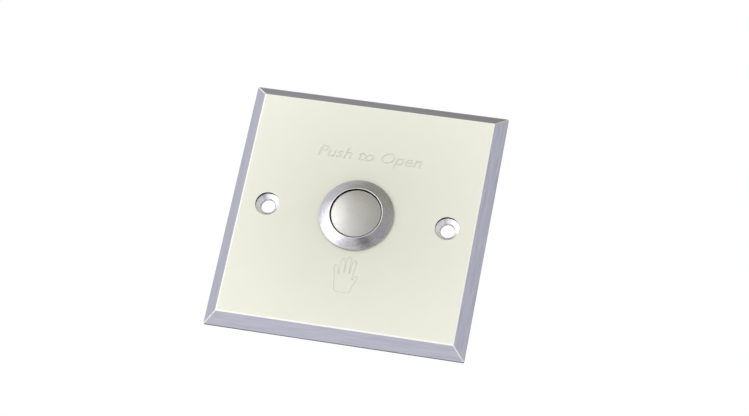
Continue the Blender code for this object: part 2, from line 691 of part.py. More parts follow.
def make_clamp_washer(name, side):
    """Square washer that clamps the wire on the terminal plate."""
    half = CLAMP_SIDE / 2
    shape = prism(rounded(half, half, CLAMP_CORNER, steps=3), CLAMP_FRONT, CLAMP_FRONT + CLAMP_THICKNESS)
    place = (side * CONTACT_X, 0, -TERMINAL_DROP)
    washer = add_piece(name, shape, finish("zinc_plated_steel", "9C9DA0", 1.0, 0.35), place)
    carve(washer, turned(rod(COLLAR_BORE, TERMINAL_REAR, HEAD_SEAT), COARSE))


def make_terminal_screw(name, side):
    """Pan head screw with a cross slot, standing in the terminal's collar."""
    shank, head = SCREW_SHANK / 2, SCREW_HEAD / 2
    tip = HEAD_SEAT - SCREW_LENGTH
    edge = (head - SCREW_HEAD_ROUND, SCREW_BACK - SCREW_HEAD_ROUND)
    profile = [
        (0, tip),
        (shank - SCREW_HEAD_ROUND, tip),
        (shank, tip + SCREW_HEAD_ROUND),
        (shank, HEAD_SEAT),
        (head, HEAD_SEAT),
        *arc(edge, SCREW_HEAD_ROUND, 0, 90, 3),
        (0, SCREW_BACK),
    ]
    place = (side * CONTACT_X, 0, -TERMINAL_DROP)
    screw = add_piece(name, turned(profile, COARSE), finish("nickel_plated_screw", "B2B1AC", 1.0, 0.28), place)
    arm, half = SCREW_CROSS / 2, SCREW_CROSS_WIDTH / 2
    quarter = [(arm, -half), (arm, half), (half, half)]
    cross = []
    for k in range(4):
        cos, sin = round(math.cos(k * math.pi / 2)), round(math.sin(k * math.pi / 2))
        cross += [(x * cos - z * sin, x * sin + z * cos) for x, z in quarter]
    carve(screw, prism(cross, SCREW_BACK - SCREW_CROSS_DEPTH, SCREW_BACK + SCREW_CROSS_DEPTH))


# The whole button
for leftover in list(bpy.data.objects):
    bpy.data.objects.remove(leftover, do_unlink=True)

button_slide = bpy.data.objects.new("button_slide", None)
bpy.context.collection.objects.link(button_slide)

make_face_plate()
make_button_housing()
make_flange_gasket()
make_lock_washer()
make_mounting_nut()
make_button_cap(button_slide)
make_cap_seal_ring(button_slide)
make_plunger(button_slide)
make_contact_bridge(button_slide)
make_stem_clip(button_slide)
make_return_spring()
make_guide_plate()
make_switch_base()
make_base_snap_ring()
for pole, side in (("no", -1), ("com", 1)):
    make_bridge_contact(button_slide, f"bridge_contact_{pole}", side)
    make_fixed_contact(f"fixed_contact_{pole}", side)
    make_terminal(f"terminal_{pole}", side)
    make_clamp_washer(f"clamp_washer_{pole}", side)
    make_terminal_screw(f"terminal_screw_{pole}", side)
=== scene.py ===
import json
import math

import bmesh
import bpy
from mathutils import Matrix, Vector
from mathutils.geometry import interpolate_bezier


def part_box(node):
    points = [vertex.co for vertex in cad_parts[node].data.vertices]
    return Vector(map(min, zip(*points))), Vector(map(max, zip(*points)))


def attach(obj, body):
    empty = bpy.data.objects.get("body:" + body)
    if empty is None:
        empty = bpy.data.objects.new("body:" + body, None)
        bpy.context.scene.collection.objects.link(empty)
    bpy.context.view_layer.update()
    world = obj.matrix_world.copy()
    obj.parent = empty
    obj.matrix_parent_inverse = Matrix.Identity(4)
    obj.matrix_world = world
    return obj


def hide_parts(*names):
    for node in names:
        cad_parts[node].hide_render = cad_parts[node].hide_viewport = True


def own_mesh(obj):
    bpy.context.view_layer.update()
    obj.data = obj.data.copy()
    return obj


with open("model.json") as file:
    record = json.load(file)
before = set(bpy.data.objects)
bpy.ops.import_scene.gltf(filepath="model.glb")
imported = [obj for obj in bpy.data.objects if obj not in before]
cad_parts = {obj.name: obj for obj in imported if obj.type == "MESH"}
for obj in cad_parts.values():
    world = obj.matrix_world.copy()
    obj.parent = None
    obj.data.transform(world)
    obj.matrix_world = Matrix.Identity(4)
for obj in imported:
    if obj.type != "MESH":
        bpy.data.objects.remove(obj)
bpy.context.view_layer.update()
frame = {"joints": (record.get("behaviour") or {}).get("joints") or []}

# Wall plate
# One square of aluminium, milled hollow behind its rim, with two stepped screw holes. Its face is
# sprayed with a satin cream lacquer. The bevels are milled after that and brushed along their
# length, so they are bare, and the lines between the faces are left polished, the one along the
# lacquer drawn nearly white as a painted highlight.
MM = 0.001
plate_low, plate_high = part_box("face_plate")
PLATE_HALF = plate_high.x
PLATE_BACK = plate_high.y
PLATE_FRONT = plate_low.y
PLATE_EDGE = 1.0 * MM
BEVEL_RUN = 4.0 * MM
POLISHED_LINE = 0.5 * MM
MITRE_LINE = 0.22 * MM
RIM_WIDTH = 5.0 * MM
RECESS_CORNER = 3.0 * MM
RECESS_DEPTH = 1.5 * MM
BARREL_HOLE = 11.3 * MM
SCREW_PLACE = 30.15 * MM
SCREW_BORE = 2.4 * MM
SCREW_SINK = 4.0 * MM
SCREW_STEP = 1.34 * MM  # the seat's straight wall
SCREW_DEPTH = 2.3 * MM  # to the end of the seat's cone, which is as flat as a drill's point
RIM_BREAK = 0.1 * MM  # the sharp edge taken off the seat's rim
BORE_BREAK = 0.2 * MM  # and off the bore's
OVERRUN = 1.0 * MM  # how far a tool runs past what it cuts
TOUCHING = 0.0005 * MM  # points this near are one point
CORNER_STEPS = 8
ROUND_STEPS = 96
FACE_SLOPE, LINE_SLOPE, SIDE_SLOPE, BACK_SLOPE = 1, 33, 85, 120  # degrees turned from the room
MITRE_TURN = 0.3  # how much a mitre's line faces both sideways and up or down
STRAIGHT_WALL = 0.1  # how much a straight wall may face along the Y axis
NOISE_SPAN = {"From Min": 0.3, "From Max": 0.7}  # where noise mostly lies, stretched to 0 to 1


def to_linear(code):
    """The linear colour of an sRGB hex code."""
    parts = [int(code[i : i + 2], 16) / 255 for i in (0, 2, 4)]
    return [p / 12.92 if p <= 0.04045 else ((p + 0.055) / 1.055) ** 2.4 for p in parts] + [1.0]


def add_node(tree, kind, inputs, output=0, **settings):
    """Adds a node with its settings, sets or links each input named, and returns an output."""
    node = tree.nodes.new("ShaderNode" + kind)
    for name, value in settings.items():
        setattr(node, name, value)
    for name, value in inputs.items():
        if isinstance(value, bpy.types.NodeSocket):
            tree.links.new(value, node.inputs[name])
        else:
            node.inputs[name].default_value = value
    return node.outputs[output]


def new_finish(name, colour, metallic, roughness):
    """A material with its plain values, to be given its patterns."""
    finish = bpy.data.materials.new(name)
    finish.use_nodes = True
    shader = finish.node_tree.nodes["Principled BSDF"]
    shader.inputs["Base Color"].default_value = to_linear(colour)
    shader.inputs["Metallic"].default_value = metallic
    shader.inputs["Roughness"].default_value = roughness
    return finish


def grain(finish, *lengths, detail=2.0):
    """Noise with one wavelength in millimetres, or with one each along X, Y and Z.

    Fine grain and brushing are drawn coarser than they are, so that they show from where the plate
    is seen.
    """
    tree = finish.node_tree
    place = add_node(tree, "TexCoord", {}, "Object")
    waves = [1 / (length * MM) for length in (lengths * 3)[:3]]
    scaled = add_node(tree, "Mapping", {"Vector": place, "Scale": waves})
    noise = add_node(tree, "TexNoise", {"Vector": scaled, "Scale": 1.0, "Detail": detail})
    return add_node(tree, "MapRange", {"Value": noise, **NOISE_SPAN})


def lathe_marks(finish, spacing, centre=(0, 0, 0), spokes=1.5):
    """Noise in rings about an axis along Y, so many millimetres apart.

    Real turning marks are finer: these are as wide as it takes for them to show.
    """
    tree = finish.node_tree
    rings = 1 / (spacing * MM)
    place = add_node(tree, "TexCoord", {}, "Object")
    shift = [-part for part in centre]
    point = add_node(tree, "Mapping", {"Vector": place, "Location": shift})
    flat = add_node(tree, "VectorMath", {0: point, 1: (1, 0, 1)}, operation="MULTIPLY")
    radius = add_node(tree, "VectorMath", {0: flat}, "Value", operation="LENGTH")
    around = add_node(tree, "VectorMath", {0: flat}, operation="NORMALIZE")
    turn = add_node(tree, "VectorMath", {0: around, "Scale": spokes}, operation="SCALE")
    depth = add_node(tree, "VectorMath", {0: point, 1: (0, rings, 0)}, operation="MULTIPLY")
    where = add_node(tree, "VectorMath", {0: turn, 1: depth}, operation="ADD")
    out = add_node(tree, "Math", {0: radius, 1: rings}, operation="MULTIPLY")
    inputs = {"Vector": where, "W": out, "Scale": 1.0, "Detail": 1.0}
    noise = add_node(tree, "TexNoise", inputs, noise_dimensions="4D")
    return add_node(tree, "MapRange", {"Value": noise, **NOISE_SPAN})


def button_shade_mask(finish, near, far):
    """1 close to the button's axis and 0 far from it: the mask for the shade painted round the
    button.
    """
    tree = finish.node_tree
    place = add_node(tree, "TexCoord", {}, "Object")
    flat = add_node(tree, "VectorMath", {0: place, 1: (1, 0, 1)}, operation="MULTIPLY")
    radius = add_node(tree, "VectorMath", {0: flat}, "Value", operation="LENGTH")
    fall = {"Value": radius, "From Min": near, "From Max": far, "To Min": 1.0, "To Max": 0.0}
    return add_node(tree, "MapRange", fall)


def dress(finish, pattern, colour=None, amount=1.0, roughness=None, relief=None):
    """Blends in an amount of a colour, moves the roughness and raises the surface by millimetres,
    each where the pattern is high."""
    tree = finish.node_tree
    shader = tree.nodes["Principled BSDF"]
    if colour:
        base = shader.inputs["Base Color"]
        before = base.links[0].from_socket if base.links else list(base.default_value)
        share = add_node(tree, "Math", {0: pattern, 1: amount}, operation="MULTIPLY")
        blend = {"Fac": share, "Color1": before, "Color2": to_linear(colour)}
        tree.links.new(add_node(tree, "MixRGB", blend), base)
    if roughness:
        limits = {"Value": pattern, "To Min": roughness[0], "To Max": roughness[1]}
        tree.links.new(add_node(tree, "MapRange", limits), shader.inputs["Roughness"])
    if relief:
        normal = shader.inputs["Normal"]
        raised = {"Height": pattern, "Distance": relief * MM}
        if normal.links:
            raised["Normal"] = normal.links[0].from_socket
        tree.links.new(add_node(tree, "Bump", raised), normal)


# Sprayed satin lacquer: cream with a faint orange peel, and painted shade that darkens it round the
# button.
lacquer = new_finish("satin_cream_lacquer", "EBECDD", 0.0, 0.42)
dress(lacquer, button_shade_mask(lacquer, near=14 * MM, far=56 * MM), "D3D4C7", 0.95)
dress(lacquer, grain(lacquer, 11, detail=3.0), "E0E1D2", 0.3, roughness=(0.36, 0.48))
dress(lacquer, grain(lacquer, 0.71), relief=0.004)
dress(lacquer, grain(lacquer, 0.26), "D8D9CA", 0.2)


def brushed_bevel(name, along_x):
    """Bare aluminium brushed along the bevel: long fine streaks, drawn 0.3 mm wide to show."""
    finish = new_finish(name, "B4B3C2", 1.0, 0.36)
    fine = (9, 0.3, 0.3) if along_x else (0.3, 0.3, 9)
    broad = (17, 0.8, 0.8) if along_x else (0.8, 0.8, 17)
    streaks = grain(finish, *fine, detail=3.0)
    dress(finish, streaks, "8F8E9F", 0.5, roughness=(0.28, 0.44), relief=0.01)
    dress(finish, grain(finish, *broad), "BDBCCB", 0.35)
    return finish


# The burnished line between two milled faces, almost mirror bright.
burnished = new_finish("burnished_aluminium", "F0F0F4", 1.0, 0.16)
dress(burnished, grain(burnished, 1.1), roughness=(0.12, 0.24))

# Where the mill cuts through the lacquer its edge is thin and hard, drawn nearly white and barely
# metallic as a painted highlight that stays bright.
edge_highlight = new_finish("painted_highlight_edge", "F7F7F2", 0.1, 0.3)
dress(edge_highlight, grain(edge_highlight, 1.7), "EAEAE4", 0.5)

# The hidden back and the holes, left as milled: duller, with fine straight tool marks.
milled = new_finish("milled_aluminium", "A9A9AE", 1.0, 0.42)
marks = grain(milled, 0.62, 17, 17)
dress(milled, marks, "8C8C92", 0.6, roughness=(0.34, 0.5), relief=0.01)
dress(milled, grain(milled, 22), "B6B6BB", 0.4)

# The sides as the shear left them, dull, with shade painted in as a dark grey colour, so that they
# show as a thin dark line under the bevels.
side_shade = new_finish("painted_shade_side", "5E5E64", 1.0, 0.5)
dress(side_shade, grain(side_shade, 0.5, 3.3, 0.5), "46464C", 0.6, roughness=(0.42, 0.6))

# The cones of the two screw seats, left pale and a little matt by one tool, with fine rings.
countersunk = new_finish("countersunk_aluminium", "F3F3F6", 0.7, 0.26)
for side in (-1, 1):
    marks = lathe_marks(countersunk, 0.29, (side * SCREW_PLACE, 0, 0))
    dress(countersunk, marks, "E2E2E7", 0.3, roughness=(0.23, 0.29))

# The straight walls of the screw seats, rough, with shade painted in as a dark grey colour.
seat_wall_shade = new_finish("painted_shade_seat_wall", "444449", 1.0, 0.5)
dress(seat_wall_shade, grain(seat_wall_shade, 2.5, 0.33, 2.5), "36363A", 0.6, roughness=(0.4, 0.6))


def across_axis(depth):
    """Lays a flat form across the Y axis at a depth."""
    return Matrix.Translation((0, depth, 0)) @ Matrix.Rotation(math.radians(90), 4, "X")


def rounded_sheet(half_x, half_z, corner, depth):
    """An open rectangle with rounded corners that lies across the Y axis."""
    shape = bmesh.new()
    bmesh.ops.create_grid(shape, x_segments=1, y_segments=1, size=1.0, matrix=across_axis(depth))
    bmesh.ops.scale(shape, verts=shape.verts, vec=(half_x, 1, half_z))
    if corner:
        bmesh.ops.bevel(
            shape, geom=shape.verts[:], offset=corner, affect="VERTICES", segments=CORNER_STEPS,
            profile=0.5, material=-1,
        )
    return shape


def draw_out(shape, faces, depth, grow=1.0):
    """Extrudes faces to a depth along Y, scales their new rim and returns the new faces."""
    edges = list({edge for face in faces for edge in face.edges})
    drawn = bmesh.ops.extrude_face_region(shape, geom=faces + edges)["geom"]
    rim = [item for item in drawn if isinstance(item, bmesh.types.BMVert)]
    bmesh.ops.scale(shape, verts=rim, vec=(grow, 0, grow))
    bmesh.ops.translate(shape, verts=rim, vec=(0, depth, 0))
    return [item for item in drawn if isinstance(item, bmesh.types.BMFace)]


def block(half_x, half_z, corner, near, far, grow=1.0):
    """A block from one depth to another, with rounded corners about the Y axis."""
    shape = rounded_sheet(half_x, half_z, corner, near)
    draw_out(shape, shape.faces[:], far, grow)
    return shape


def closed_outline(shape, profile):
    """Draws a profile of (radius, depth) points, open only where it runs along the axis."""
    points = [shape.verts.new((radius, depth, 0)) for radius, depth in profile]
    runs = zip(points, points[1:] + points[:1])
    return points + [shape.edges.new(run) for run in runs if max(end.co.x for end in run) > 0]


def sweep(shape, ring, turns, steps, rise=0.0):
    """Turns an outline about the Y axis as it moves along it, and returns where it ends."""
    count = round(turns * steps)
    return bmesh.ops.spin(
        shape,
        geom=ring,
        axis=(0, 1, 0),
        dvec=(0, rise / count, 0),
        angle=math.tau * turns,
        steps=count,
        use_merge=turns == 1,
    )["geom_last"]


def ledge(depth, *radii):
    """Points of a profile that lie at one depth, as on a turned shoulder."""
    return [(radius, depth) for radius in radii]


def spun(profile, steps=128):
    """A solid turned about the Y axis from a closed outline of (radius, depth) points."""
    shape = bmesh.new()
    sweep(shape, closed_outline(shape, profile), 1, steps)
    return shape


def rod(radius, near, far, steps=128):
    """A straight round bar along the Y axis, or the drill for a straight hole."""
    return spun(ledge(near, 0, radius) + ledge(far, radius, 0), steps)


def moved(shape, across, up=0.0):
    """Moves a form off the Y axis, and returns it."""
    bmesh.ops.translate(shape, verts=shape.verts, vec=(across, 0, up))
    return shape


def new_object(name, data):
    """Makes an object in the scene from a mesh, a curve, a lamp or a camera."""
    thing = bpy.data.objects.new(name, data)
    bpy.context.scene.collection.objects.link(thing)
    return thing


def join_shapes(shape, other):
    """Puts a second bmesh into the first."""
    passing = bpy.data.meshes.new("passing")
    other.to_mesh(passing)
    other.free()
    shape.from_mesh(passing)
    bpy.data.meshes.remove(passing)


def new_piece(name, shape, *finishes):
    """Closes a bmesh, turns its faces outwards and makes it an object with its finishes."""
    bmesh.ops.remove_doubles(shape, verts=shape.verts, dist=TOUCHING)
    bmesh.ops.recalc_face_normals(shape, faces=shape.faces)
    mesh = bpy.data.meshes.new(name)
    shape.to_mesh(mesh)
    shape.free()
    for finish in finishes:
        mesh.materials.append(finish)
    return new_object(name, mesh)


def keep_change(piece):
    """Makes what a piece's modifier gives its own mesh."""
    bpy.context.view_layer.update()
    changed = piece.evaluated_get(bpy.context.evaluated_depsgraph_get())
    piece.data = bpy.data.meshes.new_from_object(changed)
    piece.modifiers.clear()


def machine(piece, tool, finish=None, operation="DIFFERENCE"):
    """Cuts a tool's form out of a piece, or adds it. The cut takes the tool's finish."""
    cutter = new_piece("tool", tool, *([finish] if finish else []))
    step = piece.modifiers.new("machining", "BOOLEAN")
    step.operation = operation
    step.object = cutter
    step.solver = "EXACT"
    step.material_mode = "TRANSFER" if finish else "INDEX"
    keep_change(piece)
    bpy.data.objects.remove(cutter)


face_half = PLATE_HALF - BEVEL_RUN - POLISHED_LINE / 2
line_half = face_half + POLISHED_LINE
bevel_rise = PLATE_BACK - PLATE_EDGE - PLATE_FRONT
line_depth = PLATE_FRONT + bevel_rise * POLISHED_LINE / 2 / BEVEL_RUN
shape = rounded_sheet(PLATE_HALF, PLATE_HALF, 0, PLATE_BACK)
top = draw_out(shape, shape.faces[:], PLATE_BACK - PLATE_EDGE)
top = draw_out(shape, top, line_depth, line_half / PLATE_HALF)
draw_out(shape, top, PLATE_FRONT, face_half / line_half)
corners = [
    edge
    for edge in shape.edges
    if all(abs(abs(end.co.x) - abs(end.co.z)) < TOUCHING for end in edge.verts)
    and abs(edge.verts[0].co.y - edge.verts[1].co.y) > TOUCHING
]
bmesh.ops.bevel(
    shape, geom=corners, offset=MITRE_LINE, affect="EDGES", segments=1, profile=0.5, material=-1
)
plate = new_piece(
    "milled_wall_plate",
    shape,
    lacquer,
    brushed_bevel("brushed_bevel_level", True),
    brushed_bevel("brushed_bevel_upright", False),
    burnished,
    edge_highlight,
    milled,
    side_shade,
    countersunk,
    seat_wall_shade,
)
LACQUER, LEVEL, UPRIGHT, MITRE, LINE, MILLED, SIDE, SEAT_CONE, SEAT_WALL = range(9)
for face in plate.data.polygons:
    side, out, up = abs(face.normal.x), -face.normal.y, abs(face.normal.z)
    slope = math.degrees(math.atan2(max(side, up), out))
    if slope > BACK_SLOPE:
        face.material_index = MILLED
    elif slope > SIDE_SLOPE:
        face.material_index = SIDE
    elif slope < FACE_SLOPE:
        face.material_index = LACQUER
    elif min(side, up) > MITRE_TURN:
        face.material_index = MITRE
    elif slope < LINE_SLOPE:
        face.material_index = LINE
    else:
        face.material_index = LEVEL if up > side else UPRIGHT
recess_half = PLATE_HALF - RIM_WIDTH
recess_floor = PLATE_BACK - RECESS_DEPTH
recess = block(recess_half, recess_half, RECESS_CORNER, PLATE_BACK + OVERRUN, recess_floor)
machine(plate, recess, milled)
seat_end = PLATE_FRONT + SCREW_STEP
cone_end = PLATE_FRONT + SCREW_DEPTH
screw_seat = [
    *ledge(PLATE_FRONT - OVERRUN, 0, SCREW_SINK + RIM_BREAK + OVERRUN),
    (SCREW_SINK, PLATE_FRONT + RIM_BREAK),
    (SCREW_SINK, seat_end),
    (SCREW_BORE + BORE_BREAK, cone_end - BORE_BREAK),
    (SCREW_BORE, cone_end),
    *ledge(PLATE_BACK, SCREW_BORE, 0),
]
seats = bmesh.new()
for side in (-1, 1):
    join_shapes(seats, moved(spun(screw_seat, ROUND_STEPS), side * SCREW_PLACE))
machine(plate, seats, countersunk)
for face in plate.data.polygons:
    if face.material_index == SEAT_CONE and abs(face.normal.y) < STRAIGHT_WALL:
        face.material_index = SEAT_WALL if face.center.y < seat_end else MILLED
machine(plate, rod(BARREL_HOLE, PLATE_FRONT - OVERRUN, PLATE_BACK), milled)

# Engraving
# A plain word label above the button and an open hand below it are sunk a fraction of a millimetre
# into the face and lacquered over, so that only the shading of their sloping sides shows them.
# Places and widths are in millimetres on the face.
LABEL_LEFT = -17.0
LABEL_WIDTH = 35.1
LABEL_FOOT = 19.7
LABEL_HEIGHT = 5.4
LABEL_SLANT = 0.25
LABEL_BOLDER = 0.07
LABEL_POCKET = ((-19.0, 17.5), (20.0, 26.0))
HAND_PLACE = (0.2, -20.7)
HAND_LINE = 0.14
HAND_POCKET = ((-5.5, -28.5), (6.0, -13.2))
HAND_OUTLINE = (
    (-1.9, -6.1), (-2.9, -4.2), (-3.2, -1.4), (-3.9, 2.0), (-3.35, 2.9), (-2.7, 2.3), (-2.05, -0.1),
    (-1.95, 4.4), (-1.3, 5.3), (-0.65, 4.4), (-0.45, 0.5), (-0.05, 5.2), (0.6, 6.1), (1.2, 5.2),
    (1.3, 0.4), (1.85, 4.2), (2.5, 5.0), (3.05, 4.2), (2.6, -1.3), (3.5, -0.2), (4.15, -0.2),
    (4.1, -1.0), (3.0, -4.1), (2.1, -6.1),
)
CURVE_POINTS = 6  # on each run between two knots
LABEL_DEPTH = 0.3 * MM
HAND_DEPTH = 0.17 * MM
ENGRAVING_SLOPE = 0.16 * MM
FACE_CREASE = 12  # degrees, so that the polished line keeps both its edges
CREASE = 32  # for all other pieces


def smooth_outline(runs):
    """The points along a closed outline of (knot, its handle, next handle, next knot) runs."""
    return [point for run in runs for point in interpolate_bezier(*run, CURVE_POINTS)[:-1]]


def add_loop(curve, points):
    """Adds a closed outline of straight runs, in millimetres, to a flat curve."""
    loop = curve.splines.new("POLY")
    loop.points.add(len(points) - 1)
    for point, (across, up) in zip(loop.points, points):
        point.co = (across * MM, up * MM, 0, 1)
    loop.use_cyclic_u = True


def beside(outline, reach):
    """A closed outline moved sideways by a reach."""
    shifted = []
    for index, (across, up) in enumerate(outline):
        ahead, behind = outline[(index + 1) % len(outline)], outline[index - 1]
        run, rise = ahead[0] - behind[0], ahead[1] - behind[1]
        share = reach / math.hypot(run, rise)
        shifted.append((across - rise * share, up + run * share))
    return shifted


def sunk_patch(curve, pocket, depth, bolder):
    """The skin of the face within a pocket's corners, with a curve's outlines sunk into it."""
    (left, foot), (right, top) = pocket
    left, foot, right, top = left - bolder, foot - bolder, right + bolder, top + bolder
    add_loop(curve, ((left, foot), (right, foot), (right, top), (left, top)))
    curve.offset = -bolder * MM
    curve.dimensions = "2D"
    curve.fill_mode = "BOTH"
    curve.bevel_depth = ENGRAVING_SLOPE
    curve.bevel_resolution = 0
    drawing = new_object("drawing", curve)
    bpy.context.view_layer.update()
    shape = bmesh.new()
    shape.from_mesh(drawing.evaluated_get(bpy.context.evaluated_depsgraph_get()).to_mesh())
    bpy.data.objects.remove(drawing)
    upright = Matrix.Rotation(math.radians(90), 3, "X")
    bmesh.ops.rotate(shape, verts=shape.verts, matrix=upright)
    bmesh.ops.scale(shape, verts=shape.verts, vec=(1, depth / ENGRAVING_SLOPE, 1))
    bmesh.ops.translate(shape, verts=shape.verts, vec=(0, PLATE_FRONT + depth, 0))
    bmesh.ops.remove_doubles(shape, verts=shape.verts, dist=TOUCHING)
    bmesh.ops.recalc_face_normals(shape, faces=shape.faces)
    return shape


def settle(piece, body, node, crease=CREASE):
    """Smooths a piece up to its creases, hangs it on the body it rides on and hides the CAD solid
    it stands for.
    """
    piece.data.name = piece.name
    piece.data.shade_smooth()
    piece.data.set_sharp_from_angle(angle=math.radians(crease))
    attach(piece, body)
    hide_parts(node)


text = bpy.data.curves.new("label", "FONT")
text.body = "Push to Open"
text.size = LABEL_HEIGHT
text.shear = LABEL_SLANT
words = new_object("words", text)
bpy.context.view_layer.update()
outlines = []
for spline in words.to_curve(bpy.context.evaluated_depsgraph_get()).splines:
    knots = list(spline.bezier_points)
    pairs = zip(knots, knots[1:] + knots[:1])
    outlines.append(
        smooth_outline((a.co, a.handle_right, b.handle_left, b.co) for a, b in pairs)
    )
bpy.data.objects.remove(words)
left = min(point.x for outline in outlines for point in outline)
wide = max(point.x for outline in outlines for point in outline) - left
stretch = LABEL_WIDTH / wide
label = bpy.data.curves.new("label", "CURVE")
for outline in outlines:
    add_loop(label, [(LABEL_LEFT + (p.x - left) * stretch, LABEL_FOOT + p.y) for p in outline])

knots = [Vector(HAND_PLACE) + Vector(knot) for knot in HAND_OUTLINE]
runs = []
for index, here in enumerate(knots):
    before, after, beyond = (knots[(index + step) % len(knots)] for step in (-1, 1, 2))
    runs.append((here, here + (after - before) / 6, after - (beyond - here) / 6, after))
hand = bpy.data.curves.new("hand", "CURVE")
for reach in (-HAND_LINE, HAND_LINE):
    add_loop(hand, beside(smooth_outline(runs), reach))

engravings = (
    (label, LABEL_POCKET, LABEL_DEPTH, LABEL_BOLDER),
    (hand, HAND_POCKET, HAND_DEPTH, 0),
)
for _, ((left, foot), (right, top)), depth, _ in engravings:
    half_x, half_z = (right - left) / 2 * MM, (top - foot) / 2 * MM
    pocket = block(half_x, half_z, 0, PLATE_FRONT - OVERRUN, PLATE_FRONT + depth)
    place = ((left + right) / 2 * MM, (top + foot) / 2 * MM)
    machine(plate, moved(pocket, *place), lacquer)
shape = bmesh.new()
shape.from_mesh(plate.data)
for engraving in engravings:
    join_shapes(shape, sunk_patch(*engraving))
shape.to_mesh(plate.data)
shape.free()
settle(plate, "wall_unit", "face_plate", crease=FACE_CREASE)

# Button housing
# Bezel and barrel are one piece, turned from nickel-plated brass bar. The cone of the bezel keeps
# the lathe's satin rings, its lip is polished, and the barrel behind the plate has a fine thread.
housing_low, housing_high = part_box("button_housing")
cap_low, cap_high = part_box("button_cap")
gasket_low, gasket_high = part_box("flange_gasket")
base_low, base_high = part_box("switch_base")
ring_low, ring_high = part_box("base_snap_ring")
TRAVEL = frame["joints"][0]["range_m"][1]
SEAT = 0.2 * MM  # gap between pieces that rest on each other
RUNNING = 0.3 * MM  # gap between pieces that move past each other
SMALL_ROUND = 0.12 * MM
BEZEL_RADIUS = housing_high.x
BEZEL_EDGE = 0.6 * MM
BEZEL_TURN = 64  # degrees from the bezel's edge to its cone
LIP_FRONT = housing_low.y
LIP_BORE = 8.6 * MM
LIP_LAND = 0.3 * MM
LIP_BREAK = 0.05 * MM
LIP_FALL = 0.02 * MM
FLANGE_BACK = gasket_high.y
CAP_COLLAR = 1.2 * MM  # the collar's length, for which the bore is stepped
BARREL_END = housing_high.y
BARREL_RADIUS = 11.0 * MM
BARREL_CHAMFER = 0.5 * MM
THREAD_ROOT = 10.45 * MM
THREAD_PITCH = 1.0 * MM
THREAD_RUNOUT = 0.5 * MM  # plain barrel before the thread, and its slope
THREAD_CREST, THREAD_FLANK, THREAD_FOOT = 0.08, 0.42, 0.5  # half widths, in pitches
FINE_STEPS = 192  # facets round the housing and the cap


def arc(centre, radius, start, end, steps=6):
    """Points of a profile's arc, with angles in degrees from the +radius direction."""
    turns = [math.radians(start + (end - start) * step / steps) for step in range(steps + 1)]
    return [(centre[0] + radius * math.cos(a), centre[1] + radius * math.sin(a)) for a in turns]


# Satin nickel on fine turning marks, with a violet cast beside the cream face.
satin_bezel = new_finish("satin_turned_nickel", "B6B5BA", 1.0, 0.26)
fine = lathe_marks(satin_bezel, 0.24, spokes=2.5)
dress(satin_bezel, fine, "908F96", 0.5, roughness=(0.2, 0.32), relief=0.008)
dress(satin_bezel, lathe_marks(satin_bezel, 1.1, spokes=4.0), "C6C5CC", 0.4)

# The bezel's narrow front lip, buffed after plating: a thin bright ring round the cap.
buffed_lip = new_finish("buffed_nickel_lip", "DADADE", 1.0, 0.2)
dress(buffed_lip, grain(buffed_lip, 1.1), roughness=(0.16, 0.28))

# Bright nickel plate over machined brass, a little warm, as on the barrel and its nut.
plated = new_finish("machined_nickel_plate", "BDBAB0", 1.0, 0.24)
rings = lathe_marks(plated, 0.38)
dress(plated, rings, "9A968B", 0.45, roughness=(0.2, 0.34), relief=0.006)
dress(plated, grain(plated, 7.1), "CFCCC3", 0.35)


def close_ends(shape):
    """Fills the open ends of a form."""
    bmesh.ops.holes_fill(shape, edges=[edge for edge in shape.edges if edge.is_boundary])


def thread_ridge(crest, root, pitch, near, far, steps):
    """A thread's ridge from one depth to another, which fades into its root at both ends."""
    turns = (far - near) / pitch
    half = ((crest, THREAD_CREST), (root, THREAD_FLANK), (root - pitch / 4, THREAD_FOOT))
    outline = [(radius, -along) for radius, along in reversed(half)] + list(half)
    shape = bmesh.new()
    start = closed_outline(shape, [(radius, near + along * pitch) for radius, along in outline])
    sweep(shape, start, turns, steps, far - near)
    close_ends(shape)
    last = round(turns * steps)
    fade = steps / 3  # over a third of a turn
    for index, point in enumerate(shape.verts):
        ring = index // len(outline)
        share = min(1.0, ring / fade, (last - ring) / fade)
        radius = math.hypot(point.co.x, point.co.z)
        if radius > root:
            lower = (root + (radius - root) * share) / radius
            point.co.x *= lower
            point.co.z *= lower
    return shape


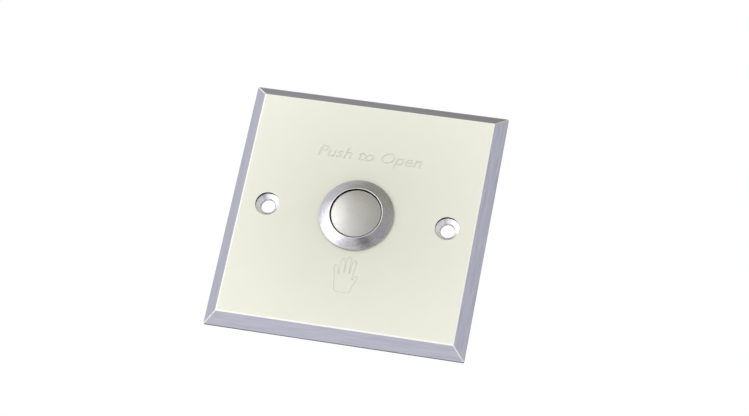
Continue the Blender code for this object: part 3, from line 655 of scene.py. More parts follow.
shoulder = ring_low.y - SEAT
chamber = cap_high.x + RUNNING
chamber_end = cap_high.y + TRAVEL + RUNNING
stack_bore = base_high.x + SEAT
groove = ring_high.x + SEAT
gasket_wall = gasket_high.x + SEAT
gasket_floor = gasket_low.y - SEAT
lip_end = cap_high.y - CAP_COLLAR - SEAT
bezel_edge = FLANGE_BACK - BEZEL_EDGE + SMALL_ROUND / 2
profile = [
    (BEZEL_RADIUS - 2 * SMALL_ROUND, FLANGE_BACK),
    (BEZEL_RADIUS, FLANGE_BACK - 2 * SMALL_ROUND),
    *arc((BEZEL_RADIUS - SMALL_ROUND, bezel_edge), SMALL_ROUND, 0, -BEZEL_TURN),
    (LIP_BORE + LIP_LAND, LIP_FRONT + LIP_FALL),
    (LIP_BORE + LIP_LAND - LIP_BREAK, LIP_FRONT),
    *arc((LIP_BORE + SMALL_ROUND, LIP_FRONT + SMALL_ROUND), SMALL_ROUND, -90, -180),
    *ledge(lip_end, LIP_BORE, chamber),
    *ledge(chamber_end, chamber, stack_bore),
    *ledge(shoulder, stack_bore, groove),
    *ledge(ring_high.y + SEAT, groove, stack_bore),
    (stack_bore, BARREL_END - SMALL_ROUND),
    *ledge(BARREL_END, stack_bore + SMALL_ROUND, BARREL_RADIUS - BARREL_CHAMFER),
    (BARREL_RADIUS, BARREL_END - BARREL_CHAMFER),
    (BARREL_RADIUS, shoulder),
    (THREAD_ROOT, shoulder - (BARREL_RADIUS - THREAD_ROOT)),
    (THREAD_ROOT, PLATE_FRONT + 2 * THREAD_RUNOUT),
    (BARREL_RADIUS, PLATE_FRONT + THREAD_RUNOUT),
    *ledge(gasket_floor, BARREL_RADIUS, gasket_wall),
    (gasket_wall, FLANGE_BACK),
]
shape = spun(profile, FINE_STEPS)
thread_start = PLATE_FRONT + 3 * THREAD_RUNOUT
thread_end = shoulder - RUNNING
thread = thread_ridge(BARREL_RADIUS, THREAD_ROOT, THREAD_PITCH, thread_start, thread_end, steps=72)
join_shapes(shape, thread)
housing = new_piece("turned_bezel_and_barrel", shape, satin_bezel, buffed_lip, plated)
LIP, PLATED = 1, 2  # slots, and all the rest keeps the bezel's
for face in housing.data.polygons:
    out = math.hypot(face.center.x, face.center.z)
    if face.center.y > FLANGE_BACK - SMALL_ROUND or out < LIP_BORE + SMALL_ROUND / 3:
        face.material_index = PLATED
    elif out < LIP_BORE + LIP_LAND:
        face.material_index = LIP
settle(housing, "wall_unit", "button_housing")

# Flange gasket
# A flat ring of black nitrile rubber, stamped from sheet and squeezed into the groove under the
# flange.
GASKET_WIDTH = 0.5 * MM
GASKET_ROUND = 0.04 * MM


def black_rubber(name, roughness):
    """Nitrile rubber: near black, dull, with talc left in its finest grain."""
    finish = new_finish(name, "1B1B1C", 0.0, roughness)
    dress(finish, grain(finish, 0.45), "2E2E2F", 0.5, relief=0.01)
    dress(finish, grain(finish, 2.9), roughness=(roughness - 0.1, roughness + 0.1))
    return finish


def eased_rim(radius, near, far, ease):
    """A rim's profile from one depth to another, with both its edges eased."""
    inner = radius - ease
    return [(inner, near), (radius, near + ease), (radius, far - ease), (inner, far)]


middle = gasket_high.x - GASKET_WIDTH / 2
profile = eased_rim(gasket_high.x, gasket_low.y, gasket_high.y, GASKET_ROUND)
profile += [(2 * middle - radius, depth) for radius, depth in reversed(profile)]
nitrile = black_rubber("nitrile_sheet", 0.7)
gasket = new_piece("rubber_flange_ring", spun(profile, ROUND_STEPS), nitrile)
settle(gasket, "wall_unit", "flange_gasket")

# Button cap
# The cap is turned from brass, blasted to an even satin and nickel plated. Its crown is a shallow
# dome with a rolled rim, and behind the seal's groove a collar catches on the housing's lip.
seal_low, seal_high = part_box("cap_seal_ring")
CAP_RADIUS = 8.3 * MM
CAP_CROWN = 0.9 * MM
CAP_SHOULDER = 0.35 * MM
CAP_ROOF = 1.2 * MM
CAP_SKIRT = 0.55 * MM
CAP_GROOVE = 1.0 * MM
DOME_STEPS = 24

# Blasted nickel: soft, warm grey, with a faint sparkle of grit.
satin_cap = new_finish("blasted_satin_nickel", "B8B7B4", 1.0, 0.4)
grit = grain(satin_cap, 0.33, detail=3.0)
dress(satin_cap, grit, "A09F9C", 0.45, roughness=(0.34, 0.46), relief=0.006)
dress(satin_cap, grain(satin_cap, 6.2), "C2C1BE", 0.4)

cap_rim = cap_low.y + CAP_CROWN
flat = CAP_RADIUS - CAP_SHOULDER
dome = (flat**2 + CAP_CROWN**2) / (2 * CAP_CROWN)
seal_floor = CAP_RADIUS - CAP_GROOVE
hollow = seal_floor - CAP_SKIRT
collar_front = cap_high.y - CAP_COLLAR
spots = [flat * step / DOME_STEPS for step in range(DOME_STEPS)]
profile = [
    *((spot, cap_low.y + dome - math.sqrt(dome**2 - spot**2)) for spot in spots),
    *arc((flat, cap_rim + CAP_SHOULDER), CAP_SHOULDER, -90, 0, steps=8),
    *ledge(seal_low.y - SEAT, CAP_RADIUS, seal_floor),
    *ledge(seal_high.y + SEAT, seal_floor, CAP_RADIUS),
    (CAP_RADIUS, collar_front),
    *eased_rim(cap_high.x, collar_front, cap_high.y, SMALL_ROUND),
    (hollow, cap_high.y),
    *ledge(cap_rim + CAP_ROOF, hollow, 0),
]
cap = new_piece("domed_button_cap", spun(profile, FINE_STEPS), satin_cap)
settle(cap, "button", "button_cap")

# Cap seal
# A ring of nitrile rubber, moulded with a round section. It rides in the cap's groove and wipes the
# bore when the button moves.
section = (seal_high.y - seal_low.y) / 2
centre = (seal_high.x - section, (seal_low.y + seal_high.y) / 2)
profile = arc(centre, section, 0, 360, steps=16)[:-1]
seal = new_piece("cap_o_ring", spun(profile, ROUND_STEPS), black_rubber("moulded_nitrile", 0.5))
settle(seal, "button", "cap_seal_ring")

# Plunger
# A moulding of white nylon that the cap pushes: a flat head before the spring, and a stem with two
# flats that keep the contacts in line. A groove near its end takes a clip.
plunger_low, plunger_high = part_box("plunger")
bridge_low, bridge_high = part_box("contact_bridge")
clip_low, clip_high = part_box("stem_clip")
STEM_RADIUS = 2.0 * MM
STEM_FLATS = 1.5 * MM
NECK_RADIUS = 1.1 * MM
NECK_FLATS = 0.8 * MM
NECK_GROOVE = 0.7 * MM
HEAD_THICKNESS = 1.0 * MM
NEARLY = 0.01 * MM  # points this near a surface lie on it


def moulded_plastic(name, colour, paler, roughness):
    """An injection moulding: even colour, spark-eroded grain and the slight swirl of its flow."""
    finish = new_finish(name, colour, 0.0, roughness)
    limits = (roughness - 0.06, roughness + 0.08)
    dress(finish, grain(finish, 0.4), roughness=limits, relief=0.012)
    dress(finish, grain(finish, 4.5, detail=3.0), paler, 0.5)
    return finish


def mill_flats(shape, half, within, behind):
    """Two flats, parallel to X, on all that lies within a radius and behind a depth."""
    for point in shape.verts:
        inside = math.hypot(point.co.x, point.co.z) < within + NEARLY
        if inside and point.co.y > behind - NEARLY:
            point.co.z = max(-half, min(half, point.co.z))


head_back = plunger_low.y + HEAD_THICKNESS
neck_front = bridge_low.y - SEAT
profile = [
    (0, plunger_low.y),
    *eased_rim(plunger_high.x, plunger_low.y, head_back, SMALL_ROUND),
    (STEM_RADIUS + SMALL_ROUND, head_back),
    (STEM_RADIUS, head_back + SMALL_ROUND),
    *ledge(neck_front, STEM_RADIUS, NECK_RADIUS),
    *ledge(bridge_high.y, NECK_RADIUS, NECK_GROOVE),
    *ledge(clip_high.y + SEAT, NECK_GROOVE, NECK_RADIUS),
    (NECK_RADIUS, plunger_high.y - SMALL_ROUND),
    *ledge(plunger_high.y, NECK_RADIUS - SMALL_ROUND, 0),
]
shape = spun(profile, ROUND_STEPS)
mill_flats(shape, STEM_FLATS, STEM_RADIUS, head_back)
mill_flats(shape, NECK_FLATS, NECK_RADIUS, neck_front)
nylon = moulded_plastic("white_nylon", "E2E0D7", "ECEAE2", 0.42)
plunger = new_piece("nylon_plunger", shape, nylon)
settle(plunger, "button", "plunger")

# Return spring
# Five turns of hard-drawn steel wire with closed end turns, between the plunger's head and the
# guide plate. It shortens by the button's travel.
spring_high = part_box("return_spring")[1]
WIRE_RADIUS = 0.3 * MM
WIRE_SIDES = 14
END_TURN = 0.75
SPRING_TURNS = 5.0
TURN_STEPS = 48

# Drawn wire: smooth dark steel with faint lines along its turns.
drawn_wire = new_finish("hard_drawn_wire", "A3A4A8", 1.0, 0.26)
dress(drawn_wire, lathe_marks(drawn_wire, 0.2), "74757A", 0.5, roughness=(0.2, 0.36))

spring_front = head_back + SEAT + WIRE_RADIUS
spring_back = spring_high.y - WIRE_RADIUS
closed_rise = END_TURN * (2 * WIRE_RADIUS + SEAT / 2)
open_rise = spring_back - spring_front - 2 * closed_rise
shape = bmesh.new()
start = Matrix.Translation((spring_high.x - WIRE_RADIUS, spring_front, 0))
bmesh.ops.create_circle(shape, segments=WIRE_SIDES, radius=WIRE_RADIUS, matrix=start)
ring = shape.verts[:] + shape.edges[:]
ring = sweep(shape, ring, END_TURN, TURN_STEPS, closed_rise)
ring = sweep(shape, ring, SPRING_TURNS - 2 * END_TURN, TURN_STEPS, open_rise)
sweep(shape, ring, END_TURN, TURN_STEPS, closed_rise)
close_ends(shape)
spring = new_piece("coiled_return_spring", shape, drawn_wire)
settle(spring, "wall_unit", "return_spring")
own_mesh(spring)

# Guide plate
# A grey nylon disc closes the spring's chamber. Its hub centres the spring, and its keyed hole
# guides the plunger's stem.
guide_low, guide_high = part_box("guide_plate")
GUIDE_THICKNESS = 1.4 * MM
HUB_RADIUS = 4.0 * MM
HOLE_RADIUS = 2.3 * MM

disc_front = guide_high.y - GUIDE_THICKNESS
profile = [
    *ledge(guide_low.y, HOLE_RADIUS, HUB_RADIUS - SMALL_ROUND),
    (HUB_RADIUS, guide_low.y + SMALL_ROUND),
    (HUB_RADIUS, disc_front),
    *eased_rim(guide_high.x, disc_front, guide_high.y, SMALL_ROUND),
    (HOLE_RADIUS, guide_high.y),
]
shape = spun(profile, ROUND_STEPS)
mill_flats(shape, STEM_FLATS + RUNNING, HOLE_RADIUS, guide_low.y)
grey = moulded_plastic("grey_nylon", "86888B", "96989B", 0.5)
guide = new_piece("nylon_guide_disc", shape, grey)
settle(guide, "wall_unit", "guide_plate")

# Contact bridge
# A stamped brass strip on the plunger's neck carries a silver rivet at each end. Pushed in, it
# joins the two fixed contacts.
screw_low, screw_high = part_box("terminal_screw_com")
POLES = (("no", -1), ("com", 1))
BRIDGE_ROUNDING = 0.95  # of half its width
KEY_CORNER = 0.5 * MM
STRIP_ROUND = 0.04 * MM
TIP_SHANK = 0.5 * MM
TIP_RADIUS = 1.1 * MM
TIP_HEIGHT = 0.5 * MM
TIP_TAIL = 0.85 * MM
TIP_TAIL_HEIGHT = 0.25 * MM
TIP_TAIL_ROUND = 0.15 * MM
PIN_STEPS = 32  # facets round the rivets' holes
SMALL_STEPS = 48  # and round rivets and collars


def stamped_brass(name, colour, darker):
    """Rolled and stamped brass: yellow, with rolling lines along X and a slight tarnish."""
    finish = new_finish(name, colour, 1.0, 0.3)
    lines = grain(finish, 8.3, 0.36, 0.36)
    dress(finish, lines, darker, 0.45, roughness=(0.22, 0.38), relief=0.005)
    dress(finish, grain(finish, 2.2, detail=3.0), darker, 0.4)
    return finish


def ease_edges(piece, width, angle=35):
    """Rounds the edges of a finished form that are sharper than an angle in degrees."""
    step = piece.modifiers.new("eased edges", "BEVEL")
    step.width = width
    step.segments = 2
    step.limit_method = "ANGLE"
    step.angle_limit = math.radians(angle)
    keep_change(piece)


# Fine silver: very pale and soft, with a trace of grey sulphide.
silver = new_finish("contact_silver", "DCDCD8", 1.0, 0.24)
tarnish = grain(silver, 0.67, detail=3.0)
dress(silver, tarnish, "B4B3AE", 0.45, roughness=(0.18, 0.34))

contact_x = (screw_low.x + screw_high.x) / 2
rounding = bridge_high.z * BRIDGE_ROUNDING
shape = block(bridge_high.x, bridge_high.z, rounding, bridge_low.y, bridge_high.y)
strip_brass = stamped_brass("rolled_brass_strip", "CBAA5E", "A88746")
bridge = new_piece("brass_contact_strip", shape, strip_brass)
near, far = bridge_low.y - OVERRUN, bridge_high.y + OVERRUN
machine(bridge, block(NECK_RADIUS + SEAT, NECK_FLATS + SEAT, KEY_CORNER, near, far))
for _, side in POLES:
    machine(bridge, moved(rod(TIP_SHANK + SEAT, near, far, PIN_STEPS), side * contact_x))
ease_edges(bridge, STRIP_ROUND)
settle(bridge, "button", "contact_bridge")

for pole, side in POLES:
    tip_low, tip_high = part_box(f"bridge_contact_{pole}")
    tail = tip_low.y + TIP_TAIL_HEIGHT
    head = tip_high.y - TIP_HEIGHT
    tail_centre = (TIP_TAIL - TIP_TAIL_ROUND, tip_low.y + TIP_TAIL_ROUND)
    head_centre = (TIP_RADIUS - TIP_HEIGHT / 2, tip_high.y - TIP_HEIGHT / 2)
    profile = [
        (0, tip_low.y),
        *arc(tail_centre, TIP_TAIL_ROUND, -90, 0, steps=4),
        (TIP_TAIL, tail),
        (TIP_SHANK, tail),
        (TIP_SHANK, head),
        (TIP_RADIUS, head),
        *arc(head_centre, TIP_HEIGHT / 2, 0, 90, steps=5),
        (0, tip_high.y),
    ]
    shape = moved(spun(profile, SMALL_STEPS), side * contact_x)
    rivet = new_piece(f"moving_rivet_{pole}", shape, silver)
    settle(rivet, "button", f"bridge_contact_{pole}")

# Stem clip
# A small E-clip, stamped from spring steel and tumbled. It snaps into the neck's groove and holds
# the strip on.
CLIP_OPENING = 70.0  # degrees
CLIP_WIDE = 1.4 * MM
CLIP_GRIP = 0.9 * MM
CLIP_TOP = 16  # degrees either side of the grip at the top
CLIP_ARMS = 112  # degrees from the top to the grips at the arms' ends

# Blued spring steel, stamped and tumbled.
steel_strip = new_finish("tumbled_spring_steel", "7F8186", 1.0, 0.34)
worn = grain(steel_strip, 0.83, detail=3.0)
dress(steel_strip, worn, "5C5E64", 0.55, roughness=(0.26, 0.42), relief=0.006)


def open_ring(low, high, inner, opening, steps):
    """A flat open ring: a bar's section swept about the Y axis, with its gap at the bottom."""
    shape = bmesh.new()
    section = [(inner, low.y), (high.x, low.y), (high.x, high.y), (inner, high.y)]
    start = closed_outline(shape, section)
    turn = Matrix.Rotation(math.radians(90 - opening / 2), 3, "Y")
    bmesh.ops.rotate(shape, verts=shape.verts, matrix=turn)
    share = 1 - opening / 360
    sweep(shape, start, share, steps / share)
    close_ends(shape)
    return shape


shape = open_ring(clip_low, clip_high, CLIP_WIDE, CLIP_OPENING, steps=58)
for point in shape.verts:
    turn = abs(math.degrees(math.atan2(point.co.x, point.co.z)))
    inside = math.hypot(point.co.x, point.co.z) < CLIP_WIDE + NEARLY
    if inside and (turn < CLIP_TOP or turn > CLIP_ARMS):
        point.co.x *= CLIP_GRIP / CLIP_WIDE
        point.co.z *= CLIP_GRIP / CLIP_WIDE
clip = new_piece("stem_e_clip", shape, steel_strip)
settle(clip, "button", "stem_clip")

# Switch base
# A black phenolic moulding plugs the barrel. It holds the contact chamber, a bed for each terminal
# and the barrier that stands between them.
fixed_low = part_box("fixed_contact_com")[0]
terminal_low, terminal_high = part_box("terminal_com")
RING_WIDTH = 1.2 * MM
BOSS_CHAMFER = 0.25 * MM
CHAMBER_ROUNDING = 0.9  # of half its width
BARRIER_HALF = 0.5 * MM
BARRIER_LENGTH = 6.5 * MM
BARRIER_CORNER = 0.3 * MM
BED_DEPTH = 0.4 * MM
RIVET_SHANK = 0.8 * MM
RIVET_HEAD_HEIGHT = 0.6 * MM
COLLAR_BORE = 1.65 * MM
COLLAR_RADIUS = 2.05 * MM
COLLAR_DEPTH = 1.2 * MM
TERMINAL_CORNER = 1.5 * MM
EDGE_ROUND = 0.06 * MM

screw_z = (screw_low.z + screw_high.z) / 2
terminal_z = (terminal_low.z + terminal_high.z) / 2
terminal_half_x = (terminal_high.x - terminal_low.x) / 2
terminal_half_z = (terminal_high.z - terminal_low.z) / 2
boss_radius = ring_high.x - RING_WIDTH - SEAT
bed_floor = terminal_low.y + COLLAR_DEPTH - SEAT
boss_rear = bed_floor + BED_DEPTH
profile = [
    (0, base_low.y),
    *eased_rim(base_high.x, base_low.y, shoulder, SMALL_ROUND),
    (boss_radius, shoulder),
    (boss_radius, boss_rear - BOSS_CHAMFER),
    *ledge(boss_rear, boss_radius - BOSS_CHAMFER, 0),
]
phenolic = moulded_plastic("black_phenolic", "17181A", "222326", 0.38)
base = new_piece("moulded_switch_base", spun(profile), phenolic)
near, far = base_low.y - OVERRUN, screw_high.y
half_x, half_z = bridge_high.x + RUNNING, bridge_high.z + RUNNING
chamber_floor = fixed_low.y + RIVET_HEAD_HEIGHT + SEAT
machine(base, block(half_x, half_z, half_z * CHAMBER_ROUNDING, near, chamber_floor))
stem_pocket = rod(clip_high.x + RUNNING, near, plunger_high.y + TRAVEL + RUNNING, steps=64)
machine(base, stem_pocket)
collar_hole = [
    *ledge(screw_low.y - RUNNING, 0, COLLAR_BORE),
    *ledge(terminal_low.y - SEAT, COLLAR_BORE, COLLAR_RADIUS + SEAT),
    *ledge(far, COLLAR_RADIUS + SEAT, 0),
]
bed = (terminal_half_x + SEAT, terminal_half_z + SEAT, TERMINAL_CORNER + SEAT, bed_floor, far)
for _, side in POLES:
    machine(base, moved(rod(RIVET_SHANK + SEAT, near, far, PIN_STEPS), side * contact_x))
    machine(base, moved(block(*bed), side * contact_x, terminal_z))
    machine(base, moved(spun(collar_hole, SMALL_STEPS), side * contact_x, screw_z))
barrier = block(BARRIER_HALF, BARRIER_LENGTH, BARRIER_CORNER, bed_floor, base_high.y)
machine(base, barrier, operation="UNION")
ease_edges(base, EDGE_ROUND)
settle(base, "wall_unit", "switch_base")

# Snap ring
# An open ring, stamped from spring steel and tumbled. It sits in the barrel's groove and keeps the
# base in.
RING_OPENING = 34.0  # degrees
STRIP_EDGE = 0.08 * MM

shape = open_ring(ring_low, ring_high, ring_high.x - RING_WIDTH, RING_OPENING, steps=80)
snap_ring = new_piece("open_snap_ring", shape, steel_strip)
ease_edges(snap_ring, STRIP_EDGE)
settle(snap_ring, "wall_unit", "base_snap_ring")

# Terminals
# Each side has a silver rivet clenched through a stamped brass plate, and on the plate's tapped
# collar a nickel-plated pan head screw with a square zinc-plated clamp under it.
clamp_low, clamp_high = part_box("clamp_washer_com")
RIVET_HEAD = 1.2 * MM
RIVET_ROUND = 0.3 * MM
RIVET_TAIL_HEIGHT = 0.5 * MM
DIMPLE_RIM = 0.65 * MM
DIMPLE_FLOOR = 0.5 * MM
DIMPLE_DEPTH = 0.12 * MM
DIMPLE_MIDDLE = 0.15 * MM
CLAMP_CORNER = 0.6 * MM
SCREW_SHANK = 1.45 * MM
SCREW_THREAD_ROOT = 1.2 * MM
SCREW_PITCH = 0.5 * MM
SCREW_TIP = 0.3 * MM
SCREW_PLAIN = 0.4 * MM
SCREW_ROUND = 0.05 * MM
SCREW_CREASE = 40  # degrees
HEAD_HEIGHT = 1.8 * MM
HEAD_ROUND = 0.7 * MM
HEAD_BREAK = 0.1 * MM
CROSS_ARM = 1.5 * MM
CROSS_HALF = 0.35 * MM
CROSS_DEPTH = 1.0 * MM
CROSS_TAPER = 0.72
CROSS_TURN = 12  # degrees, each screw its own way

# Bright zinc with a pale blue passivation and the soft mottle of barrel plating.
zinc = new_finish("blue_zinc_plate", "A2A5AB", 1.0, 0.3)
mottle = grain(zinc, 0.77, detail=3.0)
dress(zinc, mottle, "84888F", 0.5, roughness=(0.24, 0.4), relief=0.006)
dress(zinc, grain(zinc, 3.8), "B6B5A6", 0.3)


def screw_nickel(pole, side):
    """Bright nickel on a headed screw, with the header's rings."""
    finish = new_finish(f"nickel_plated_screw_{pole}", "BFBDB5", 1.0, 0.22)
    rings = lathe_marks(finish, 0.31, (side * contact_x, 0, screw_z))
    dress(finish, rings, "99968D", 0.45, roughness=(0.18, 0.32), relief=0.006)
    return finish


terminal_brass = stamped_brass("stamped_brass_plate", "C9A659", "A58340")
rivet_back = fixed_low.y + RIVET_HEAD_HEIGHT
rivet_inset = RIVET_HEAD - RIVET_ROUND
tail = terminal_high.y + SEAT
tail_end = tail + RIVET_TAIL_HEIGHT
fixed_rivet = [
    (0, fixed_low.y),
    *arc((rivet_inset, fixed_low.y + RIVET_ROUND), RIVET_ROUND, -90, 0, steps=5),
    *ledge(rivet_back, RIVET_HEAD, RIVET_SHANK),
    *ledge(tail, RIVET_SHANK, RIVET_HEAD),
    *arc((rivet_inset, tail_end - RIVET_ROUND), RIVET_ROUND, 0, 90, steps=5),
    (DIMPLE_RIM, tail_end),
    (DIMPLE_FLOOR, tail_end - DIMPLE_DEPTH),
    (0, tail_end - DIMPLE_MIDDLE),
]
plate_near = terminal_low.y + COLLAR_DEPTH
plate_middle = (plate_near + terminal_high.y) / 2
clamp_half = (clamp_high.x - clamp_low.x) / 2
head_seat = screw_high.y - HEAD_HEIGHT
head_radius = (screw_high.x - screw_low.x) / 2
pan_head = (head_radius - HEAD_ROUND, screw_high.y - HEAD_ROUND)
screw_profile = [
    *ledge(screw_low.y, 0, SCREW_THREAD_ROOT - SCREW_TIP),
    (SCREW_THREAD_ROOT, screw_low.y + SCREW_TIP),
    *ledge(head_seat, SCREW_THREAD_ROOT, head_radius - HEAD_BREAK),
    (head_radius, head_seat + HEAD_BREAK),
    *arc(pan_head, HEAD_ROUND, 0, 90, steps=8),
    (0, screw_high.y),
]
thread_start, thread_end = screw_low.y + SCREW_PLAIN, head_seat - SCREW_PLAIN
for pole, side in POLES:
    across = side * contact_x
    rivet = new_piece(f"fixed_rivet_{pole}", moved(spun(fixed_rivet, SMALL_STEPS), across), silver)
    settle(rivet, "wall_unit", f"fixed_contact_{pole}")

    shape = block(terminal_half_x, terminal_half_z, TERMINAL_CORNER, plate_near, terminal_high.y)
    strap = new_piece(f"brass_terminal_{pole}", moved(shape, across, terminal_z), terminal_brass)
    collar = rod(COLLAR_RADIUS, terminal_low.y, plate_middle, SMALL_STEPS)
    near, far = terminal_low.y - OVERRUN, terminal_high.y + OVERRUN
    machine(strap, moved(collar, across, screw_z), operation="UNION")
    machine(strap, moved(rod(COLLAR_BORE, near, far, SMALL_STEPS), across, screw_z))
    machine(strap, moved(rod(RIVET_SHANK + SEAT, near, far, PIN_STEPS), across))
    ease_edges(strap, EDGE_ROUND)
    settle(strap, "wall_unit", f"terminal_{pole}")

    shape = block(clamp_half, clamp_half, CLAMP_CORNER, clamp_low.y, clamp_high.y)
    clamp = new_piece(f"square_wire_clamp_{pole}", moved(shape, across, screw_z), zinc)
    near, far = clamp_low.y - OVERRUN, clamp_high.y + OVERRUN
    machine(clamp, moved(rod(COLLAR_BORE, near, far, SMALL_STEPS), across, screw_z))
    ease_edges(clamp, STRIP_EDGE)
    settle(clamp, "wall_unit", f"clamp_washer_{pole}")

    nickel = screw_nickel(pole, side)
    screw = new_piece(f"pan_head_screw_{pole}", spun(screw_profile, steps=72), nickel)
    for turn in (0, 90):
        start, end = screw_high.y + OVERRUN, screw_high.y - CROSS_DEPTH
        slot = block(CROSS_ARM, CROSS_HALF, 0, start, end, CROSS_TAPER)
        spin = Matrix.Rotation(math.radians(turn + CROSS_TURN * side), 3, "Y")
        bmesh.ops.rotate(slot, verts=slot.verts, matrix=spin)
        machine(screw, slot)
    ease_edges(screw, SCREW_ROUND, SCREW_CREASE)
    shape = bmesh.new()
    shape.from_mesh(screw.data)
    thread = (SCREW_SHANK, SCREW_THREAD_ROOT, SCREW_PITCH, thread_start, thread_end)
    join_shapes(shape, thread_ridge(*thread, steps=36))
    moved(shape, across, screw_z)
    bmesh.ops.recalc_face_normals(shape, faces=shape.faces)
    shape.to_mesh(screw.data)
    shape.free()
    settle(screw, "wall_unit", f"terminal_screw_{pole}")

# Lock washer
# A zinc-plated washer with inner teeth, stamped and then twisted so that they bite into plate and
# nut.
washer_low, washer_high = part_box("lock_washer")
LOCK_THICKNESS = 0.8 * MM
LOCK_TIP = 11.2 * MM
LOCK_ROOT = 12.5 * MM
LOCK_TEETH = 12
LOCK_TWIST = 0.15 * MM
LOCK_TOOTH_STEPS = 16
LOCK_ROUND = 0.05 * MM
NEAR_EDGE = 1e-4  # radians by which a point may miss a tooth's edge

middle = (washer_low.y + washer_high.y) / 2
tooth_turn = math.tau / LOCK_TEETH


def turn_in_tooth(point):
    """The angle from the start of a point's tooth."""
    turn = math.atan2(point.co.z, point.co.x)
    return (turn + math.pi / 2 + tooth_turn / 4) % tooth_turn


shape = bmesh.new()
lie = across_axis(middle - LOCK_THICKNESS / 2)
rims = []
for radius in (LOCK_ROOT, washer_high.x):
    count = LOCK_TEETH * LOCK_TOOTH_STEPS
    made = bmesh.ops.create_circle(shape, segments=count, radius=radius, matrix=lie)
    rims.append(made["verts"])
bmesh.ops.bridge_loops(shape, edges=shape.edges[:])
for point in rims[0]:
    if turn_in_tooth(point) < tooth_turn / 2 + NEAR_EDGE:
        point.co.x *= LOCK_TIP / LOCK_ROOT
        point.co.z *= LOCK_TIP / LOCK_ROOT
draw_out(shape, shape.faces[:], middle + LOCK_THICKNESS / 2)
for point in shape.verts:
    if math.hypot(point.co.x, point.co.z) < (LOCK_TIP + LOCK_ROOT) / 2:
        point.co.y += LOCK_TWIST * (4 * turn_in_tooth(point) / tooth_turn - 1)
washer = new_piece("toothed_lock_washer", shape, zinc)
ease_edges(washer, LOCK_ROUND)
settle(washer, "wall_unit", "lock_washer")

# Mounting nut
# A thin hexagon nut, milled from brass bar with both faces chamfered and nickel plated, clamps the
# plate between the washer and the flange.
nut_low, nut_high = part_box("mounting_nut")
NUT_FLAT = 13.5 * MM
NUT_BORE = 11.2 * MM
NUT_BORE_CHAMFER = 0.5 * MM
NUT_CHAMFER_ANGLE = 30.0
NUT_ROUND = 0.08 * MM
NUT_CREASE = 14  # degrees
NUT_TURN = math.radians(30)  # to a flat up and back again, on which the chamfer's facets depend

nut_corner = NUT_FLAT / math.cos(math.pi / 6)
shape = bmesh.new()
lie = across_axis(nut_low.y) @ Matrix.Rotation(NUT_TURN, 4, "Z")
bmesh.ops.create_circle(shape, cap_ends=True, segments=6, radius=nut_corner, matrix=lie)
bmesh.ops.rotate(shape, verts=shape.verts, matrix=Matrix.Rotation(NUT_TURN, 3, "Y"))
draw_out(shape, shape.faces[:], nut_high.y)
nut = new_piece("thin_hexagon_nut", shape, plated)
past = nut_corner + BARREL_CHAMFER
drop = (past - NUT_FLAT) * math.tan(math.radians(NUT_CHAMFER_ANGLE))
turned = [
    *ledge(nut_low.y, NUT_BORE + NUT_BORE_CHAMFER, NUT_FLAT),
    (past, nut_low.y + drop),
    (past, nut_high.y - drop),
    *ledge(nut_high.y, NUT_FLAT, NUT_BORE + NUT_BORE_CHAMFER),
    (NUT_BORE, nut_high.y - NUT_BORE_CHAMFER),
    (NUT_BORE, nut_low.y + NUT_BORE_CHAMFER),
]
machine(nut, spun(turned, steps=144), plated, "INTERSECT")
ease_edges(nut, NUT_ROUND, NUT_CREASE)
settle(nut, "wall_unit", "mounting_nut")

# Studio
# A pale floor well below the plate, three soft lamps and a white surround. Boards that only metal
# mirrors stand overhead, low and to the right, and a small dark one where the camera's body would
# be: they give bevels and bezel their greys. Lengths are in metres.
FLOOR_DEPTH = -0.30
FLOOR_SIZE = 3.0
SURROUND_LIGHT = 0.77  # what matt surfaces get of the surround's white
BOARDS = (  # name, place, width, height, glow, colour
    ("overhead_board", (0.17, 0.40, 0.70), 1.3, 0.75, 0.35, "FFFEDE"),
    ("front_overhead_board", (0.17, -0.33, 0.70), 1.3, 0.70, 0.56, "FFFEE8"),
    ("low_board", (0.17, -0.14, -0.28), 0.24, 0.18, 0.15, "FFFFFF"),
    ("side_board", (0.50, -0.86, 0.22), 0.75, 1.4, 0.60, "FFFEF2"),
    ("low_side_board", (0.57, -0.74, -0.16), 0.45, 0.30, 0.70, "F0F0FF"),
    ("camera_body", (0.11, -0.50, -0.25), 0.22, 0.16, 0.04, "FFFFFF"),
)
LAMPS = (  # name, place, width, height, watts, and whether it is only mirrored or only lights
    ("left_softbox", (-0.44, -0.47, -0.07), 0.43, 0.96, 2.9, True),
    ("front_softbox", (-0.40, -0.85, 0.20), 0.6, 0.6, 2.4, False),
    ("rear_softbox", (-0.30, 0.50, 0.40), 0.5, 0.5, 5.2, False),
)


def flat_piece(name, width, height, finish):
    """A level rectangle about the origin."""
    shape = bmesh.new()
    bmesh.ops.create_grid(shape, x_segments=1, y_segments=1, size=0.5)
    bmesh.ops.scale(shape, verts=shape.verts, vec=(width, height, 1))
    return new_piece(name, shape, finish)


def face_object(thing, place):
    """Puts a board or lamp in its place, turned to the object."""
    thing.location = place
    thing.rotation_euler = thing.location.to_track_quat("Z", "Y").to_euler()


pale_floor = new_finish("pale_floor", "F4F4F2", 0.0, 0.7)
floor = flat_piece("studio_floor", FLOOR_SIZE, FLOOR_SIZE, pale_floor)
floor.data.transform(Matrix.Translation((0, 0, FLOOR_DEPTH)))

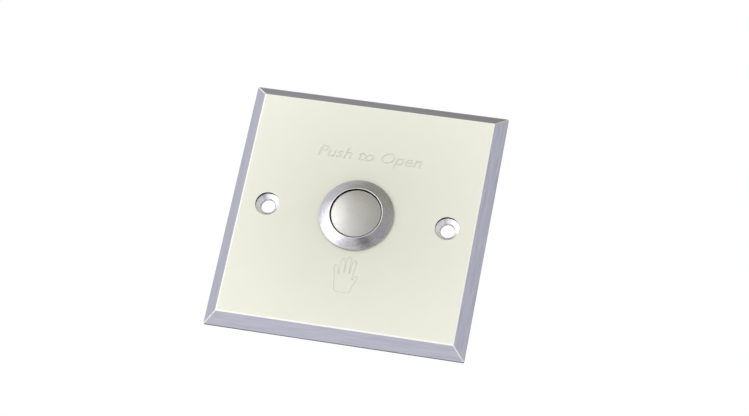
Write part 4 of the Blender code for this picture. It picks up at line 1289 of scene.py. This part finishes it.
for name, place, width, height, glow, colour in BOARDS:
    finish = new_finish(name, "000000", 0.0, 1.0)
    shader = finish.node_tree.nodes["Principled BSDF"]
    shader.inputs["Specular IOR Level"].default_value = 0.0
    shader.inputs["Emission Color"].default_value = to_linear(colour)
    shader.inputs["Emission Strength"].default_value = glow
    board = flat_piece(name, width, height, finish)
    face_object(board, place)
    board.visible_camera = False
    board.visible_diffuse = False
    board.visible_shadow = False

for name, place, width, height, power, mirrored in LAMPS:
    light = bpy.data.lights.new(name, "AREA")
    light.shape = "RECTANGLE"
    light.size = width
    light.size_y = height
    light.energy = power
    lamp = new_object(name, light)
    face_object(lamp, place)
    lamp.visible_glossy = mirrored
    lamp.visible_diffuse = not mirrored

world = bpy.data.worlds.new("white_surround")
bpy.context.scene.world = world
world.use_nodes = True
tree = world.node_tree
path = tree.nodes.new("ShaderNodeLightPath").outputs
seen = path["Is Camera Ray"]
for kind in ("Is Glossy Ray", "Is Transmission Ray"):
    seen = add_node(tree, "Math", {0: seen, 1: path[kind]}, operation="MAXIMUM")
strength = add_node(tree, "MapRange", {"Value": seen, "To Min": SURROUND_LIGHT, "To Max": 1.0})
backdrop = tree.nodes["Background"]
backdrop.inputs["Color"].default_value = to_linear("FFFFFF")
tree.links.new(strength, backdrop.inputs["Strength"])

# Camera
# It stands a little below the plate and to its right, as the photograph was taken, and fills the
# frame of 749 by 416 pixels the same way. The three directions are fitted to the plate's corners.
FRAME_WIDTH = 749
SENSOR_WIDTH = 36.0
FOCAL_PIXELS = 2113.5
CAMERA_PLACE = (0.12097, -0.63843, -0.24743)
CAMERA_RIGHT = (0.9765, 0.1033, 0.1890)
CAMERA_UP = (-0.1357, -0.3862, 0.9124)
CAMERA_BACK = (0.1673, -0.9166, -0.3631)

view = bpy.data.cameras.new("photo_view")
view.sensor_fit = "HORIZONTAL"
view.sensor_width = SENSOR_WIDTH
view.lens = SENSOR_WIDTH * FOCAL_PIXELS / FRAME_WIDTH
view.clip_start = 0.01
camera = new_object("photo_view", view)
turn = Matrix((CAMERA_RIGHT, CAMERA_UP, CAMERA_BACK)).transposed()
camera.matrix_world = Matrix.Translation(CAMERA_PLACE) @ turn.to_quaternion().to_matrix().to_4x4()
bpy.context.scene.camera = camera
bpy.context.scene.view_settings.view_transform = "Standard"
